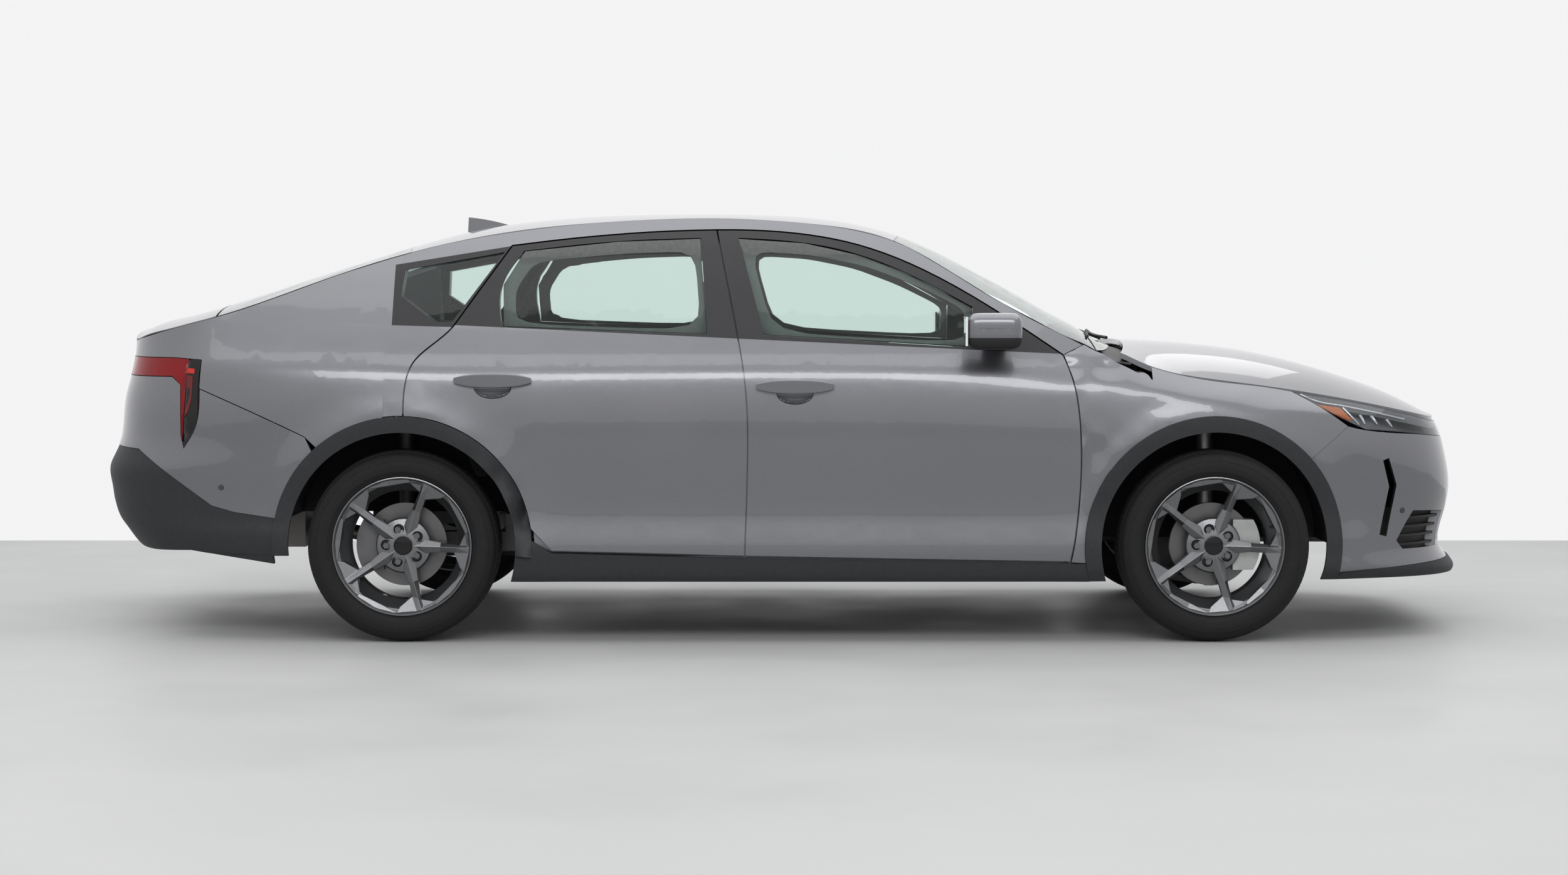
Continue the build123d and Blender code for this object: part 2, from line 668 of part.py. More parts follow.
# Lid of the boot: the deck and the tail between the lamps. Under its lip the deck is narrower, to swing up past the sides
LID_FRONT = [(-1903, -900), (-1953, 0), (-1903, 900)]
LID_REAR = [(-2246, -900), (-2246, 0), (-2246, 900)]
LID_STRAIGHT_X = -1950
LID_CORNER_X = -2212
LID_MARGIN = 3.6
LID_SKIN = 22
LID_LIP = 3
LID_STEP = 18
LID_HALF = cabin_half(LID_STRAIGHT_X) - LID_MARGIN
LID_CORNER_Y = 2 * LID_MARGIN - LID_SIDE
with BuildPart() as lid_tail:
    layer(end_skin(-1), REAR_IN, 0, LID_SKIN)
    tail_side = -LID_SIDE + LID_MARGIN
    tail = polygon((tail_side, LID_FOOT), (0, LID_FOOT), (0, 1200), (tail_side, 1200))
    cut(tail, FRONT_VIEW, start=-2400, length=300)
    add(above(cabin_skin()), mode=Mode.SUBTRACT)
with BuildPart() as lid_lip:
    layer(cabin_skin(), DOWN, 0, LID_LIP)
    cut(top_plan(-LID_MARGIN), PLAN_VIEW)
    cut(polygon((-2300, -LID_HALF), (-1800, -LID_HALF), (-1800, LID_HALF), (-2300, LID_HALF)), PLAN_VIEW)
    cut(across(LID_REAR, LID_FRONT, 0), PLAN_VIEW)
with BuildPart() as lid_deck:
    layer(cabin_skin(), DOWN, LID_LIP / 2, LID_SKIN - LID_LIP / 2)
    cut(top_plan(-LID_MARGIN - LID_STEP), PLAN_VIEW)
    cut(across(LID_REAR, LID_FRONT, -LID_LIP), PLAN_VIEW)
    corner = polygon((-2300, -900), (LID_CORNER_X, -900), (LID_CORNER_X, LID_CORNER_Y), (-2300, LID_CORNER_Y))
    cut(corner, PLAN_VIEW, Mode.SUBTRACT)
with BuildPart() as lid_half:
    add([lid_lip.part, lid_deck.part, lid_tail.part])
    with Locations((TAIL_X, -WIDTH / 2, ROOF_Z / 2)):
        Box(LENGTH, WIDTH, ROOF_Z, mode=Mode.INTERSECT)
save(joined(lid_half.part), "trunk_lid")

# Hood
HOOD_GAP = 2.6
HOOD_SKIN = 18
HOOD_FRAME = 12
HOOD_FRAME_STEP = 70
HOOD_REAR = [(1118, -900), (1205, 0), (1118, 900)]
HOOD_Z = 735


def hood_plan(margin):
    """The outline of the hood seen from above, grown by margin."""
    tip = past_nose(HOOD_Z) + margin
    right = [(tip, 0)]
    for angle in steps(88, 6, 26):
        x = tip * math.sin(math.radians(angle)) ** (2 / NOSE_POWER)
        wide = (full_side(x, hood_edge(x)) + margin) * math.cos(math.radians(angle)) ** (2 / NOSE_POWER)
        right.append((x, -wide))
    right = [point for point in right if point[0] > 1040]
    left = [(x, -y) for x, y in reversed(right)]
    return area([[*left, *right[1:]], [right[-1], left[0]]])


HOOD_BACK = area([
    HOOD_REAR, [HOOD_REAR[-1], (2400, 900)], [(2400, 900), (2400, -900)], [(2400, -900), HOOD_REAR[0]],
])
HOOD_BACK_INNER = area([[(x + HOOD_FRAME_STEP, y) for x, y in HOOD_REAR], [(1188, 900), (2400, 900)],
                        [(2400, 900), (2400, -900)], [(2400, -900), (1188, -900)]])  # fmt: skip
with BuildPart() as hood:
    layer(hood_skin(), DOWN, 0, HOOD_SKIN)
    cut(hood_plan(-HOOD_GAP), PLAN_VIEW)
    cut(HOOD_BACK, PLAN_VIEW)
with BuildPart() as hood_frame:
    layer(hood_skin(), DOWN, HOOD_SKIN, HOOD_FRAME)
    cut(hood_plan(-HOOD_FRAME_STEP), PLAN_VIEW)
    cut(HOOD_BACK_INNER, PLAN_VIEW)
with BuildPart() as hood_whole:
    add([hood.part, hood_frame.part])
save(hood_whole.part, "hood")
with BuildPart() as hood_room:
    extrude(hood_skin().translate(DOWN * (HOOD_SKIN + HOOD_FRAME + 10)), amount=TOP_SKY, dir=(0, 0, 1))
    cut(hood_plan(HOOD_GAP), PLAN_VIEW)
    cut(HOOD_BACK, PLAN_VIEW)


# Front end
def arc_of(axle, start, end, count=6, radius=ARCH_OUTER):
    return [arch_point(axle, angle, radius) for angle in steps(start, end, count)]


LAMP_TOP = [(1698, 846), (1850, 824), (2147, 765), (2240, 744), (2420, 705)]
FENDER_REAR = [(x + HALF_GAP - FIT, z) for x, z in DOOR_FRONT]
FENDER = [
    [(1118, 1000), (1010, 996)],
    [(1010, 996), FENDER_REAR[0]],
    FENDER_REAR,
    [FENDER_REAR[-1], arc_of(FRONT_AXLE_X, 187, 187, 1)[0]],
    arc_of(FRONT_AXLE_X, 187, 42, 12),
    [arc_of(FRONT_AXLE_X, 42, 42, 1)[0], (1903, 721)],
    [(1903, 721), (1808, 786), (1698, 846)],
    [(1698, 846), (1118, 1000)],
]
HEADLAMP = [
    LAMP_TOP,
    [(2420, 705), (2420, 650)],
    [(2420, 650), (2147, 692), (1967, 709)],
    [(1967, 709), (1919, 730), (1808, 786), (1698, 846)],
]
BUMPER = [
    [(1903, 721), (1967, 707), (2147, 690), (2420, 648)],
    [(2420, 648), (2420, 262)],
    [(2420, 262), (2050, 240), (1876, 226)],
    arc_of(FRONT_AXLE_X, -12.7, 42, 6),
    [arc_of(FRONT_AXLE_X, 42, 42, 1)[0], (1903, 721)],
]
LIP = polygon((1870, 206), (1876, 225.6), (2050, 239.6), (2420, 261.6), (2420, 206))
CURTAIN = polygon((2028, 604), (2050, 612), (2080, 520), (2046, 345), (2020, 352), (2052, 515))
UPPER_GRILLE = polygon((-430, 655), (-400, 585), (400, 585), (430, 655))
LOWER_GRILLE = polygon((-470, 440), (-520, 330), (-490, 285), (490, 285), (520, 330), (470, 440))
CORNER_GRILLE = polygon((-560, 300), (-545, 420), (-700, 430), (-735, 330), (-720, 300))
LAMP_INNER = 450
LAMP_DEPTH = 42
SPOKE_SEAT = 0.3

with BuildPart() as fender:
    layer(end_skin(1), FRONT_IN, 0, PANEL)
    cut(area(FENDER, -FIT))
    add(hood_room.part, mode=Mode.SUBTRACT)
    extrude(hood_skin(), amount=TOP_SKY, dir=(0, 0, 1), mode=Mode.SUBTRACT)
    add(top_room.part, mode=Mode.SUBTRACT)
pair(fender.part, "front_fenders")

with BuildPart() as headlamp:
    layer(end_skin(1), FRONT_IN, 1, LAMP_DEPTH)
    cut(area(HEADLAMP, -FIT))
    cut(polygon((-1000, 0), (-LAMP_INNER, 0), (-LAMP_INNER, 1000), (-1000, 1000)), FRONT_VIEW)
    cut(area(FENDER, FIT), mode=Mode.SUBTRACT)
    add(hood_room.part, mode=Mode.SUBTRACT)
pair(headlamp.part, "headlamps")

with BuildPart() as bumper_half:
    layer(end_skin(1), FRONT_IN, 0, PANEL)
    cut(area(BUMPER, -FIT))
    cut(CURTAIN, mode=Mode.SUBTRACT)
with BuildPart() as front_bumper:
    add(bumper_half.part)
    add(mirror(bumper_half.part, about=Plane.XZ))
    for opening in (UPPER_GRILLE, LOWER_GRILLE, CORNER_GRILLE, mirror(CORNER_GRILLE, about=Plane.YZ)):
        cut(opening, FRONT_VIEW, Mode.SUBTRACT, start=1900)
save(front_bumper.part, "front_bumper")

with BuildPart() as lip_half:
    layer(end_skin(1), FRONT_IN, -6, 30)
    cut(LIP)
with BuildPart() as front_lip:
    add(lip_half.part)
    add(mirror(lip_half.part, about=Plane.XZ))
save(front_lip.part, "front_lip")

GRILLE_PLATE = 8


def bar(z, thick):
    """Half of one level bar of the grille, just behind the nose's skin at its height."""
    row = [(x, y) for x, y in end_outline(1, z, 1900, 16)]
    front = [(x - 8, y + 8) for x, y in row]
    back = [(x - PANEL - 2, y + PANEL + 2) for x, y in reversed(row)]
    front[-1], back[0] = (front[-1][0], 1), (back[0][0], 1)
    region = area([front, [front[-1], back[0]], back, [back[-1], front[0]]])
    extrude(to_extrude=Plane.XY.offset(z - thick / 2) * region, amount=thick, dir=(0, 0, 1))


with BuildPart() as grille_back:
    layer(end_skin(1), FRONT_IN, PANEL + SEAT, GRILLE_PLATE)
    cut(
        polygon((-560, 665), (0, 665), (0, 262), (-745, 262), (-745, 440), (-560, 450)), FRONT_VIEW,
        start=1900,
    )
with BuildPart() as grille_bars:
    for z in (602, 620, 638):
        bar(z, 6)
    for z in (315, 345, 375, 405):
        bar(z, 8)
    with BuildSketch(FRONT_VIEW.offset(1900)):
        for opening in (UPPER_GRILLE, LOWER_GRILLE, CORNER_GRILLE):
            add(opening)
        offset(amount=-SPOKE_SEAT)
    extrude(amount=600, mode=Mode.INTERSECT)
with BuildPart() as curtain_back:
    layer(end_skin(1), FRONT_IN, PANEL + SEAT, GRILLE_PLATE)
    cut(polygon((2010, 620), (2100, 620), (2100, 335), (2000, 335)))
    cut(polygon((-1000, 0), (-735, 0), (-735, 1000), (-1000, 1000)), FRONT_VIEW)
with BuildPart() as grille_half:
    add([grille_back.part, grille_bars.part, curtain_back.part])
with BuildPart() as front_grille:
    add(grille_half.part)
    add(mirror(grille_half.part, about=Plane.XZ))
save(front_grille.part, "front_grille")

# Rear end
TAIL_LAMP = [
    [(-1957, 943), (-1966, 830), (-1974, 717), (-2017, 646)],
    [(-2017, 646), (-2028, 690)],
    [(-2028, 690), (-2030, 860)],
    [(-2030, 860), (-2062, 888)],
    [(-2062, 888), (-2420, 888)],
    [(-2420, 888), (-2420, 950)],
    [(-2420, 950), (-2058, 950)],
    [(-2058, 950), (-1957, 943)],
]
REAR_BUMPER = [
    arc_of(REAR_AXLE_X, 167.6, 133, 4),
    [arc_of(REAR_AXLE_X, 133, 133, 1)[0], (-1594, 688)],
    [(-1594, 688), (-1800, 780), (-1959, 846)],
    [(-1959, 846), (-1974, 717), (-2017, 646)],
    [(-2017, 646), (-2028, 690)],
    [(-2028, 690), (-2030, 860)],
    [(-2030, 860), (-2062, 886)],
    [(-2062, 886), (-2420, 886)],
    [(-2420, 886), (-2420, 652)],
    [(-2420, 652), (-2190, 640)],
    [(-2190, 640), (-1920, 455)],
    [(-1920, 455), (-1840, 434)],
    [(-1840, 434), arc_of(REAR_AXLE_X, 167.6, 167.6, 1)[0]],
]
VALANCE = [
    [arc_of(REAR_AXLE_X, 167.6, 167.6, 1)[0], (-1840, 434)],
    [(-1840, 434), (-1920, 455)],
    [(-1920, 455), (-2190, 640)],
    [(-2190, 640), (-2420, 652)],
    [(-2420, 652), (-2420, 270)],
    [(-2420, 270), (-2200, 290)],
    [(-2200, 290), (-2000, 300)],
    [(-2000, 300), arc_of(REAR_AXLE_X, 188, 188, 1)[0]],
    arc_of(REAR_AXLE_X, 188, 167.6, 2),
]
LID_ROOM = polygon(
    (-LID_SIDE - 2.6, LID_FOOT - 5.2), (1, LID_FOOT - 5.2), (1, 1300), (-LID_SIDE - 2.6, 1300),
)


def tail_piece(outline, depth, thickness, beside=None):
    with BuildPart() as half:
        layer(end_skin(-1), REAR_IN, depth, thickness)
        cut(area(outline, -FIT))
        if beside:
            cut(area(beside, FIT), mode=Mode.SUBTRACT)
        cut(LID_ROOM, FRONT_VIEW, Mode.SUBTRACT, start=-2420, length=300)
    return half.part


save(joined(tail_piece(REAR_BUMPER, 0, PANEL)), "rear_bumper")
save(joined(tail_piece(VALANCE, 2, PANEL - 2)), "rear_valance")
pair(tail_piece(TAIL_LAMP, 1, LAMP_DEPTH, REAR_BUMPER), "tail_lamps")


# Dark trim along the sills and round the wheel openings
def arch_ring(skin, into, axle, low):
    """The trim round one wheel opening, down to a height."""
    outer, inner = ARCH_OUTER - SEAT, ARCH_RADIUS
    drop_out = math.degrees(math.asin((AXLE_Z - low) / outer))
    drop_in = math.degrees(math.asin((AXLE_Z - low) / inner))
    around = arc_of(axle, -drop_out, 180 + drop_out, 16, outer)
    back = arc_of(axle, 180 + drop_in, -drop_in, 16, inner)
    with BuildPart() as ring:
        layer(skin, into, -ARCH_PROUD, TRIM_DEPTH)
        cut(area([around, [around[-1], back[0]], back, [back[-1], around[0]]]))
    return ring.part


RING_FOOT = 290
SILL_TRIM = [
    arc_of(FRONT_AXLE_X, 195.5, 187.2, 2, ARCH_OUTER + SPOKE_SEAT),
    [arc_of(FRONT_AXLE_X, 187.2, 187.2, 1, ARCH_OUTER + SPOKE_SEAT)[0], (958, 265)],
    [(958, 265), (-110, 284)],
    [(-110, 284), (-770, 302)],
    [(-770, 302), arc_of(REAR_AXLE_X, 3, 3, 1, ARCH_OUTER + SPOKE_SEAT)[0]],
    arc_of(REAR_AXLE_X, 3, -4.5, 2, ARCH_OUTER + SPOKE_SEAT),
    [
        arc_of(REAR_AXLE_X, -4.5, -4.5, 1, ARCH_OUTER + SPOKE_SEAT)[0],
        arc_of(REAR_AXLE_X, -5.1, -5.1, 1, ARCH_RADIUS)[0],
    ],
    arc_of(REAR_AXLE_X, -5.1, -17.7, 2, ARCH_RADIUS),
    [arc_of(REAR_AXLE_X, -17.7, -17.7, 1, ARCH_RADIUS)[0],
     arc_of(FRONT_AXLE_X, 195.5, 195.5, 1, ARCH_OUTER + SPOKE_SEAT)[0]],
]
with BuildPart() as sill_trim:
    layer(side_skin(), RIGHT_IN, -ARCH_PROUD, TRIM_DEPTH)
    cut(area(SILL_TRIM))
trims = [
    arch_ring(end_skin(1), FRONT_IN, FRONT_AXLE_X, 206), sill_trim.part,
    arch_ring(end_skin(-1), REAR_IN, REAR_AXLE_X, RING_FOOT),
]
pair(Compound(children=[solid for piece in trims for solid in piece.solids()]), "body_cladding")


# Floor, front structure and what they carry
def block(x0, x1, y0, y1, z0, z1, mode=Mode.ADD):
    """A box between two corners."""
    with Locations(((x0 + x1) / 2, (y0 + y1) / 2, (z0 + z1) / 2)):
        Box(abs(x1 - x0), abs(y1 - y0), abs(z1 - z0), mode=mode)


def within(skin, into, depth):
    """Keeps only what lies deeper than depth under a skin."""
    layer(skin, into, depth, 1400, Mode.INTERSECT)


RAMP_X = -560
BOOT_Z = 412
BOOT_FLOOR = 28
WHEELHOUSE = ARCH_RADIUS + 17
LINER = 6
WELL_Y = 500
FIREWALL_X = 1008
FIREWALL = 30
TUNNEL_HALF = 130
TUNNEL_Z = 360
WALL = 26
with BuildPart() as cabin_floor:
    block(RAMP_X, FIREWALL_X + FIREWALL, -1000, 0, FLOOR_Z, FLOOR_Z + FLOOR_DEPTH)
    block(RAMP_X, RAMP_X + WALL, -1000, 0, FLOOR_Z, BOOT_Z + BOOT_FLOOR)
    block(FIREWALL_X, FIREWALL_X + FIREWALL, -1000, 0, FLOOR_Z, 900)
    within(side_skin(), RIGHT_IN, SIDE_DEPTH + SEAT)
    block(RAMP_X, FIREWALL_X, -TUNNEL_HALF, 0, FLOOR_Z, TUNNEL_Z)
    block(
        RAMP_X - 10, FIREWALL_X + FIREWALL + 10, -TUNNEL_HALF + WALL, 10, FLOOR_Z - 10, TUNNEL_Z - WALL,
        Mode.SUBTRACT,
    )
with BuildPart() as boot_floor:
    block(-2150, RAMP_X + WALL, -WELL_Y, 0, BOOT_Z, BOOT_Z + BOOT_FLOOR)
    block(-2150, -1700, -1000, 0, BOOT_Z, BOOT_Z + BOOT_FLOOR)
    block(-860, RAMP_X + WALL, -750, 0, BOOT_Z, BOOT_Z + BOOT_FLOOR)
    block(-2150, -2150 + WALL, -700, 0, 330, 685)
    within(end_skin(-1), REAR_IN, RING_DEPTH + SPOKE_SEAT)


def wheelhouse(skin, into, axle, low):
    """The liner over one wheel, and its inner wall."""
    with BuildPart() as liner:
        with BuildSketch(Plane.XZ.offset(WELL_Y)):
            with Locations((axle, AXLE_Z)):
                Circle(WHEELHOUSE + LINER)
                Circle(WHEELHOUSE, mode=Mode.SUBTRACT)
        extrude(amount=500)
        with BuildSketch(Plane.XZ.offset(WELL_Y)):
            with Locations((axle, AXLE_Z)):
                Circle(WHEELHOUSE + 1)
        extrude(amount=LINER)
        block(axle - 500, axle + 500, -1100, 0, 0, low, Mode.SUBTRACT)
        within(skin, into, TRIM_DEPTH - ARCH_PROUD + SEAT)
    return liner.part


rear_well = wheelhouse(end_skin(-1), REAR_IN, REAR_AXLE_X, BOOT_Z)
with BuildPart() as floor_half:
    add([cabin_floor.part, boot_floor.part, rear_well])
with BuildPart() as floor_pan:
    add(floor_half.part)
    add(mirror(floor_half.part, about=Plane.XZ))
save(floor_pan.part, "floor_pan")

# Steering axis of a front wheel: through its lower ball joint and the top of its strut
BALL_Y = 735
BALL_Z = 200
STRUT_TOP_Y = 585
STRUT_TOP_Z = 875
RUNNING = 0.05
PIN = 10
king_rise = Vector(0, -(STRUT_TOP_Y - BALL_Y), STRUT_TOP_Z - BALL_Z).normalized()
KING = Plane(origin=(FRONT_AXLE_X, -BALL_Y, BALL_Z), x_dir=(1, 0, 0), z_dir=king_rise)
KING_LENGTH = Vector(0, STRUT_TOP_Y - BALL_Y, STRUT_TOP_Z - BALL_Z).length
TOWER = 88
TOWER_TOP = 12
RAIL_IN = 400
RAIL_OUT = 480
RAIL_LOW = 400
RAIL_TOP = 490
RAIL_END = 2130
with BuildPart() as tower:
    with BuildSketch(KING.offset(KING_LENGTH - 170)):
        Circle(TOWER)
    extrude(amount=170 + TOWER_TOP)
    with BuildSketch(KING.offset(KING_LENGTH - 180)):
        Circle(TOWER - LINER)
    extrude(amount=180, mode=Mode.SUBTRACT)
    with BuildSketch(KING):
        Circle(PIN + RUNNING)
    extrude(amount=1000, mode=Mode.SUBTRACT)
with BuildPart() as lamp_seat:
    block(2000, NOSE_X, -590, -460, 620, 700)
    within(end_skin(1), FRONT_IN, 1 + LAMP_DEPTH + SEAT)
with BuildPart() as front_half:
    add(wheelhouse(end_skin(1), FRONT_IN, FRONT_AXLE_X, AXLE_Z))
    with BuildSketch(KING):
        Circle(TOWER - LINER)
    extrude(amount=KING_LENGTH - 100, mode=Mode.SUBTRACT)
    add(tower.part)
    block(FIREWALL_X + FIREWALL + SEAT, RAIL_END, -RAIL_OUT, -RAIL_IN, RAIL_LOW, RAIL_TOP)
    block(FRONT_AXLE_X - 60, FRONT_AXLE_X + 60, -WELL_Y - 1, -RAIL_OUT + 1, RAIL_LOW, RAIL_TOP)
    block(RAIL_END - WALL, RAIL_END, -600, 0, 330, 640)
    block(RAIL_END - WALL - 10, RAIL_END + 10, -330, 10, 370, 600, Mode.SUBTRACT)
    block(RAIL_END - 10, NOSE_X, -420, 0, 460, 520)
    within(end_skin(1), FRONT_IN, PANEL + GRILLE_PLATE + 2 * SEAT)
    add(lamp_seat.part)
    add(hood_room.part, mode=Mode.SUBTRACT)
with BuildPart() as front_structure:
    add(front_half.part)
    add(mirror(front_half.part, about=Plane.XZ))
save(front_structure.part, "front_structure")

ENGINE_HALF = 320
with BuildPart() as engine:
    block(1500, 1990, -ENGINE_HALF, ENGINE_HALF, 290, 790)
    block(1700, 1760, -RAIL_IN + SEAT, RAIL_IN - SEAT, RAIL_LOW + 10, RAIL_TOP - 10)
save(engine.part, "engine_block")

with BuildPart() as cowl:
    block(FIREWALL_X, 1192, -1000, 1000, 900 + SEAT, 1100)
    extrude(cabin_skin().translate(DOWN * (GLASS + SEAT)), amount=TOP_SKY, dir=(0, 0, 1), mode=Mode.SUBTRACT)
    with BuildSketch(Plane.XY.offset(880)):
        with Locations((1100, 0)):
            Rectangle(400, 1380)
    extrude(amount=300, mode=Mode.INTERSECT)
save(cowl.part, "cowl_panel")

# Seats and the inside
SEAT_Y = 380
SEAT_HALF = 245


with BuildPart() as front_seat:
    with BuildSketch(Plane.XZ.offset(SEAT_Y - SEAT_HALF)):
        add(polygon(
            (330, 345), (345, 430), (310, 470), (-60, 445), (-190, 1010), (-230, 1050), (-275, 1040),
            (-280, 1000), (-200, 480), (-150, 345),
        ))  # fmt: skip
    extrude(amount=2 * SEAT_HALF)
    fillet(front_seat.edges().filter_by(Axis.Y), 18)
    block(-140, 290, -SEAT_Y - 190, -SEAT_Y + 190, FLOOR_Z + FLOOR_DEPTH + SEAT, 346)
    with BuildSketch(Plane.XZ.offset(SEAT_Y - 125)):
        add(polygon(
            (-215, 1040), (-205, 1075), (-215, 1215), (-260, 1225), (-295, 1200), (-280, 1065),
            (-260, 1030),
        ))
    extrude(amount=250)
pair(front_seat.part, "front_seats")

with BuildPart() as rear_seat:
    block(-1040, RAMP_X - 10, -480, 480, BOOT_Z + BOOT_FLOOR + SEAT, 540)
    block(-860, RAMP_X + WALL + 60, -640, 640, BOOT_Z + BOOT_FLOOR + SEAT, 540)
    with BuildSketch(Plane.XZ.offset(-480)):
        add(polygon((-1020, 470), (-1000, 560), (-1170, 1010), (-1250, 1012), (-1250, 960), (-1090, 470)))
    extrude(amount=960)
    with BuildSketch(Plane.XZ.offset(-600)):
        add(polygon((-1068, 740), (-1170, 1010), (-1250, 1012), (-1250, 960), (-1178, 740)))
    extrude(amount=1200)
save(rear_seat.part, "rear_seat")

SHELF_Z = 985
with BuildPart() as shelf_half:
    block(-1925, -1262, -1000, 0, SHELF_Z, SHELF_Z + 22)
    within(end_skin(-1), REAR_IN, SIDE_DEPTH + 2)
save(joined(shelf_half.part), "rear_shelf")

WHEEL_CENTRE = (478, 375, 800)
COLUMN_TILT = 24
column_down = Vector(math.cos(math.radians(COLUMN_TILT)), 0, -math.sin(math.radians(COLUMN_TILT)))
COLUMN = Plane(origin=WHEEL_CENTRE, x_dir=(0, 1, 0), z_dir=column_down)
COLUMN_PIN = 12
with BuildPart() as dashboard:
    with BuildSketch(Plane.XZ.offset(-640)):
        add(polygon(
            (FIREWALL_X - SEAT, 620), (FIREWALL_X - SEAT, 960), (900, 972), (730, 945), (668, 900),
            (680, 800), (790, 700), (800, 620),
        ))
    extrude(amount=1280)
    block(-150, 720, -105, 105, TUNNEL_Z + SEAT, 545)
    block(640, 830, -105, 105, 500, 700)
    with BuildSketch(COLUMN.offset(60)):
        Circle(42)
    extrude(amount=260)
    with BuildSketch(COLUMN.offset(50)):
        Circle(COLUMN_PIN + RUNNING)
    extrude(amount=150, mode=Mode.SUBTRACT)
save(dashboard.part, "dashboard")

GRIP_RADIUS = 178
GRIP = 15
with BuildPart() as steering_wheel:
    with BuildSketch(Plane(origin=WHEEL_CENTRE, x_dir=(0, 1, 0), z_dir=COLUMN.y_dir)):
        with Locations((GRIP_RADIUS, 0)):
            Circle(GRIP)
    revolve(axis=Axis(origin=WHEEL_CENTRE, direction=column_down))
    with BuildSketch(COLUMN.offset(-8)):
        Circle(62)
        for angle in (0, 90, 180):
            with Locations(Location((0, 0), angle)):
                with Locations((GRIP_RADIUS / 2, 0)):
                    Rectangle(GRIP_RADIUS, 36)
    extrude(amount=20)
    with BuildSketch(COLUMN.offset(10)):
        Circle(40)
    extrude(amount=40)
    with BuildSketch(COLUMN.offset(10)):
        Circle(COLUMN_PIN)
    extrude(amount=150)
save(steering_wheel.part, "steering_wheel")


# Mirrors, on the front doors
with BuildPart() as mirror_head:
    block(606, 790, -1045, -905, 982, 1104)
    fillet(mirror_head.edges(), 34)
with BuildPart() as door_mirror:
    add(mirror_head.part)
    block(668, 752, -930, -700, 992, 1012)
    layer(side_skin(), RIGHT_IN, -SEAT, 500, Mode.SUBTRACT)
both_sides(door_mirror.part.solids().sort_by(Axis.Y)[0], "door_mirror")

# Wheels, made round the Y axis with the outer side towards -Y, then set in place
BEAD = 219
WELL = 186
RIM_WALL = 7
HUB_FACE = 40
SPOKE_FACE = 78
LIP_FACE = RIM_WIDTH / 2 + 6
TYRE_WALL = 12
HAT_RADIUS = 76
STUB_RADIUS = 25
STUB_LENGTH = 112
BOLT_CIRCLE = 57.15
BOLT_RADIUS = 7
BOLTS = 5
SPOKES = 5
CARRIER = 44
CARRIER_OUT = -24
CARRIER_IN = -76
ROTOR_CLEAR = 1.5
CALIPER = 162
CALIPER_FOOT = 86


def turned(points):
    """A ring whose section is drawn as (radius, distance outwards) points."""
    with BuildPart() as ring:
        with BuildSketch(Plane.XY):
            with BuildLine():
                Polyline(*[(radius, -out) for radius, out in points], close=True)
            make_face()
        revolve(axis=Axis.Y)
    return ring.part


RIM_SECTION = [
    (BEAD + 14, -LIP_FACE), (BEAD + 14, -LIP_FACE + 6), (BEAD, -LIP_FACE + 12), (BEAD, -60),
    (WELL + 6, -35), (WELL + 6, 25),
    (BEAD - 4, 50), (BEAD, LIP_FACE - 12), (BEAD + 14, LIP_FACE - 6), (BEAD + 14, LIP_FACE),
    (BEAD + 4, LIP_FACE),
    (BEAD - RIM_WALL, LIP_FACE - 14), (BEAD - RIM_WALL - 5, 50), (WELL, 27), (WELL, -38),
    (BEAD - RIM_WALL, -64),
    (BEAD - RIM_WALL, -LIP_FACE + 8), (BEAD + 4, -LIP_FACE),
]  # fmt: skip
HALF_TYRE = TYRE_WIDTH / 2
TYRE_SECTION = [
    (BEAD, 62), (BEAD, LIP_FACE - 12.2), (BEAD + 12, LIP_FACE - 7), (BEAD + 22, LIP_FACE - 4),
    (250, HALF_TYRE - 3),
    (268, HALF_TYRE), (286, HALF_TYRE - 3), (303, HALF_TYRE - 10), (314, HALF_TYRE - 21),
    (319, HALF_TYRE - 38), (TYRE_RADIUS, 0),
]  # fmt: skip
GROOVES = (-50, -17, 17, 50)
with BuildPart() as tyre:
    outer = [*TYRE_SECTION, *[(radius, -out) for radius, out in TYRE_SECTION[-2::-1]]]
    add(turned(outer))
    air = [(BEAD - 1, 61), (BEAD + 30, LIP_FACE - 16), (268, HALF_TYRE - TYRE_WALL), (300, HALF_TYRE - 26)]
    air = [*air, (TYRE_RADIUS - 14, 0), *[(radius, -out) for radius, out in air[::-1]]]
    add(turned(air), mode=Mode.SUBTRACT)
    for groove in GROOVES:
        low, high = groove - 4, groove + 4
        foot, top = TYRE_RADIUS - 8, TYRE_RADIUS + 5
        add(turned([(foot, low), (top, low), (top, high), (foot, high)]), mode=Mode.SUBTRACT)

SPOKE = polygon((50, -34), (110, -27), (BEAD - 9, -15), (BEAD - 9, 15), (110, 27), (50, 34))
with BuildPart() as spoke_disc:
    with BuildSketch(Plane.XZ):
        Circle(72)
        with PolarLocations(0, SPOKES, start_angle=90):
            add(SPOKE)
    extrude(amount=LIP_FACE)
with BuildPart() as spoke_room:
    add(turned([
        (0, HUB_FACE), (HAT_RADIUS + 2, HUB_FACE), (140, 56), (BEAD - 6, 62), (BEAD - 6, LIP_FACE - 12),
        (150, LIP_FACE - 10), (72, SPOKE_FACE), (0, SPOKE_FACE),
    ]))  # fmt: skip
with BuildPart() as rim:
    add(spoke_disc.part)
    add(spoke_room.part, mode=Mode.INTERSECT)
    with BuildSketch(Plane.XZ):
        with PolarLocations(BOLT_CIRCLE, BOLTS, start_angle=36):
            Circle(BOLT_RADIUS + SEAT)
    extrude(amount=200, mode=Mode.SUBTRACT)
    with BuildSketch(Plane.XZ.offset(HUB_FACE + 16)):
        with PolarLocations(BOLT_CIRCLE, BOLTS, start_angle=36):
            Circle(15)
    extrude(amount=200, mode=Mode.SUBTRACT)
    add(turned(RIM_SECTION))

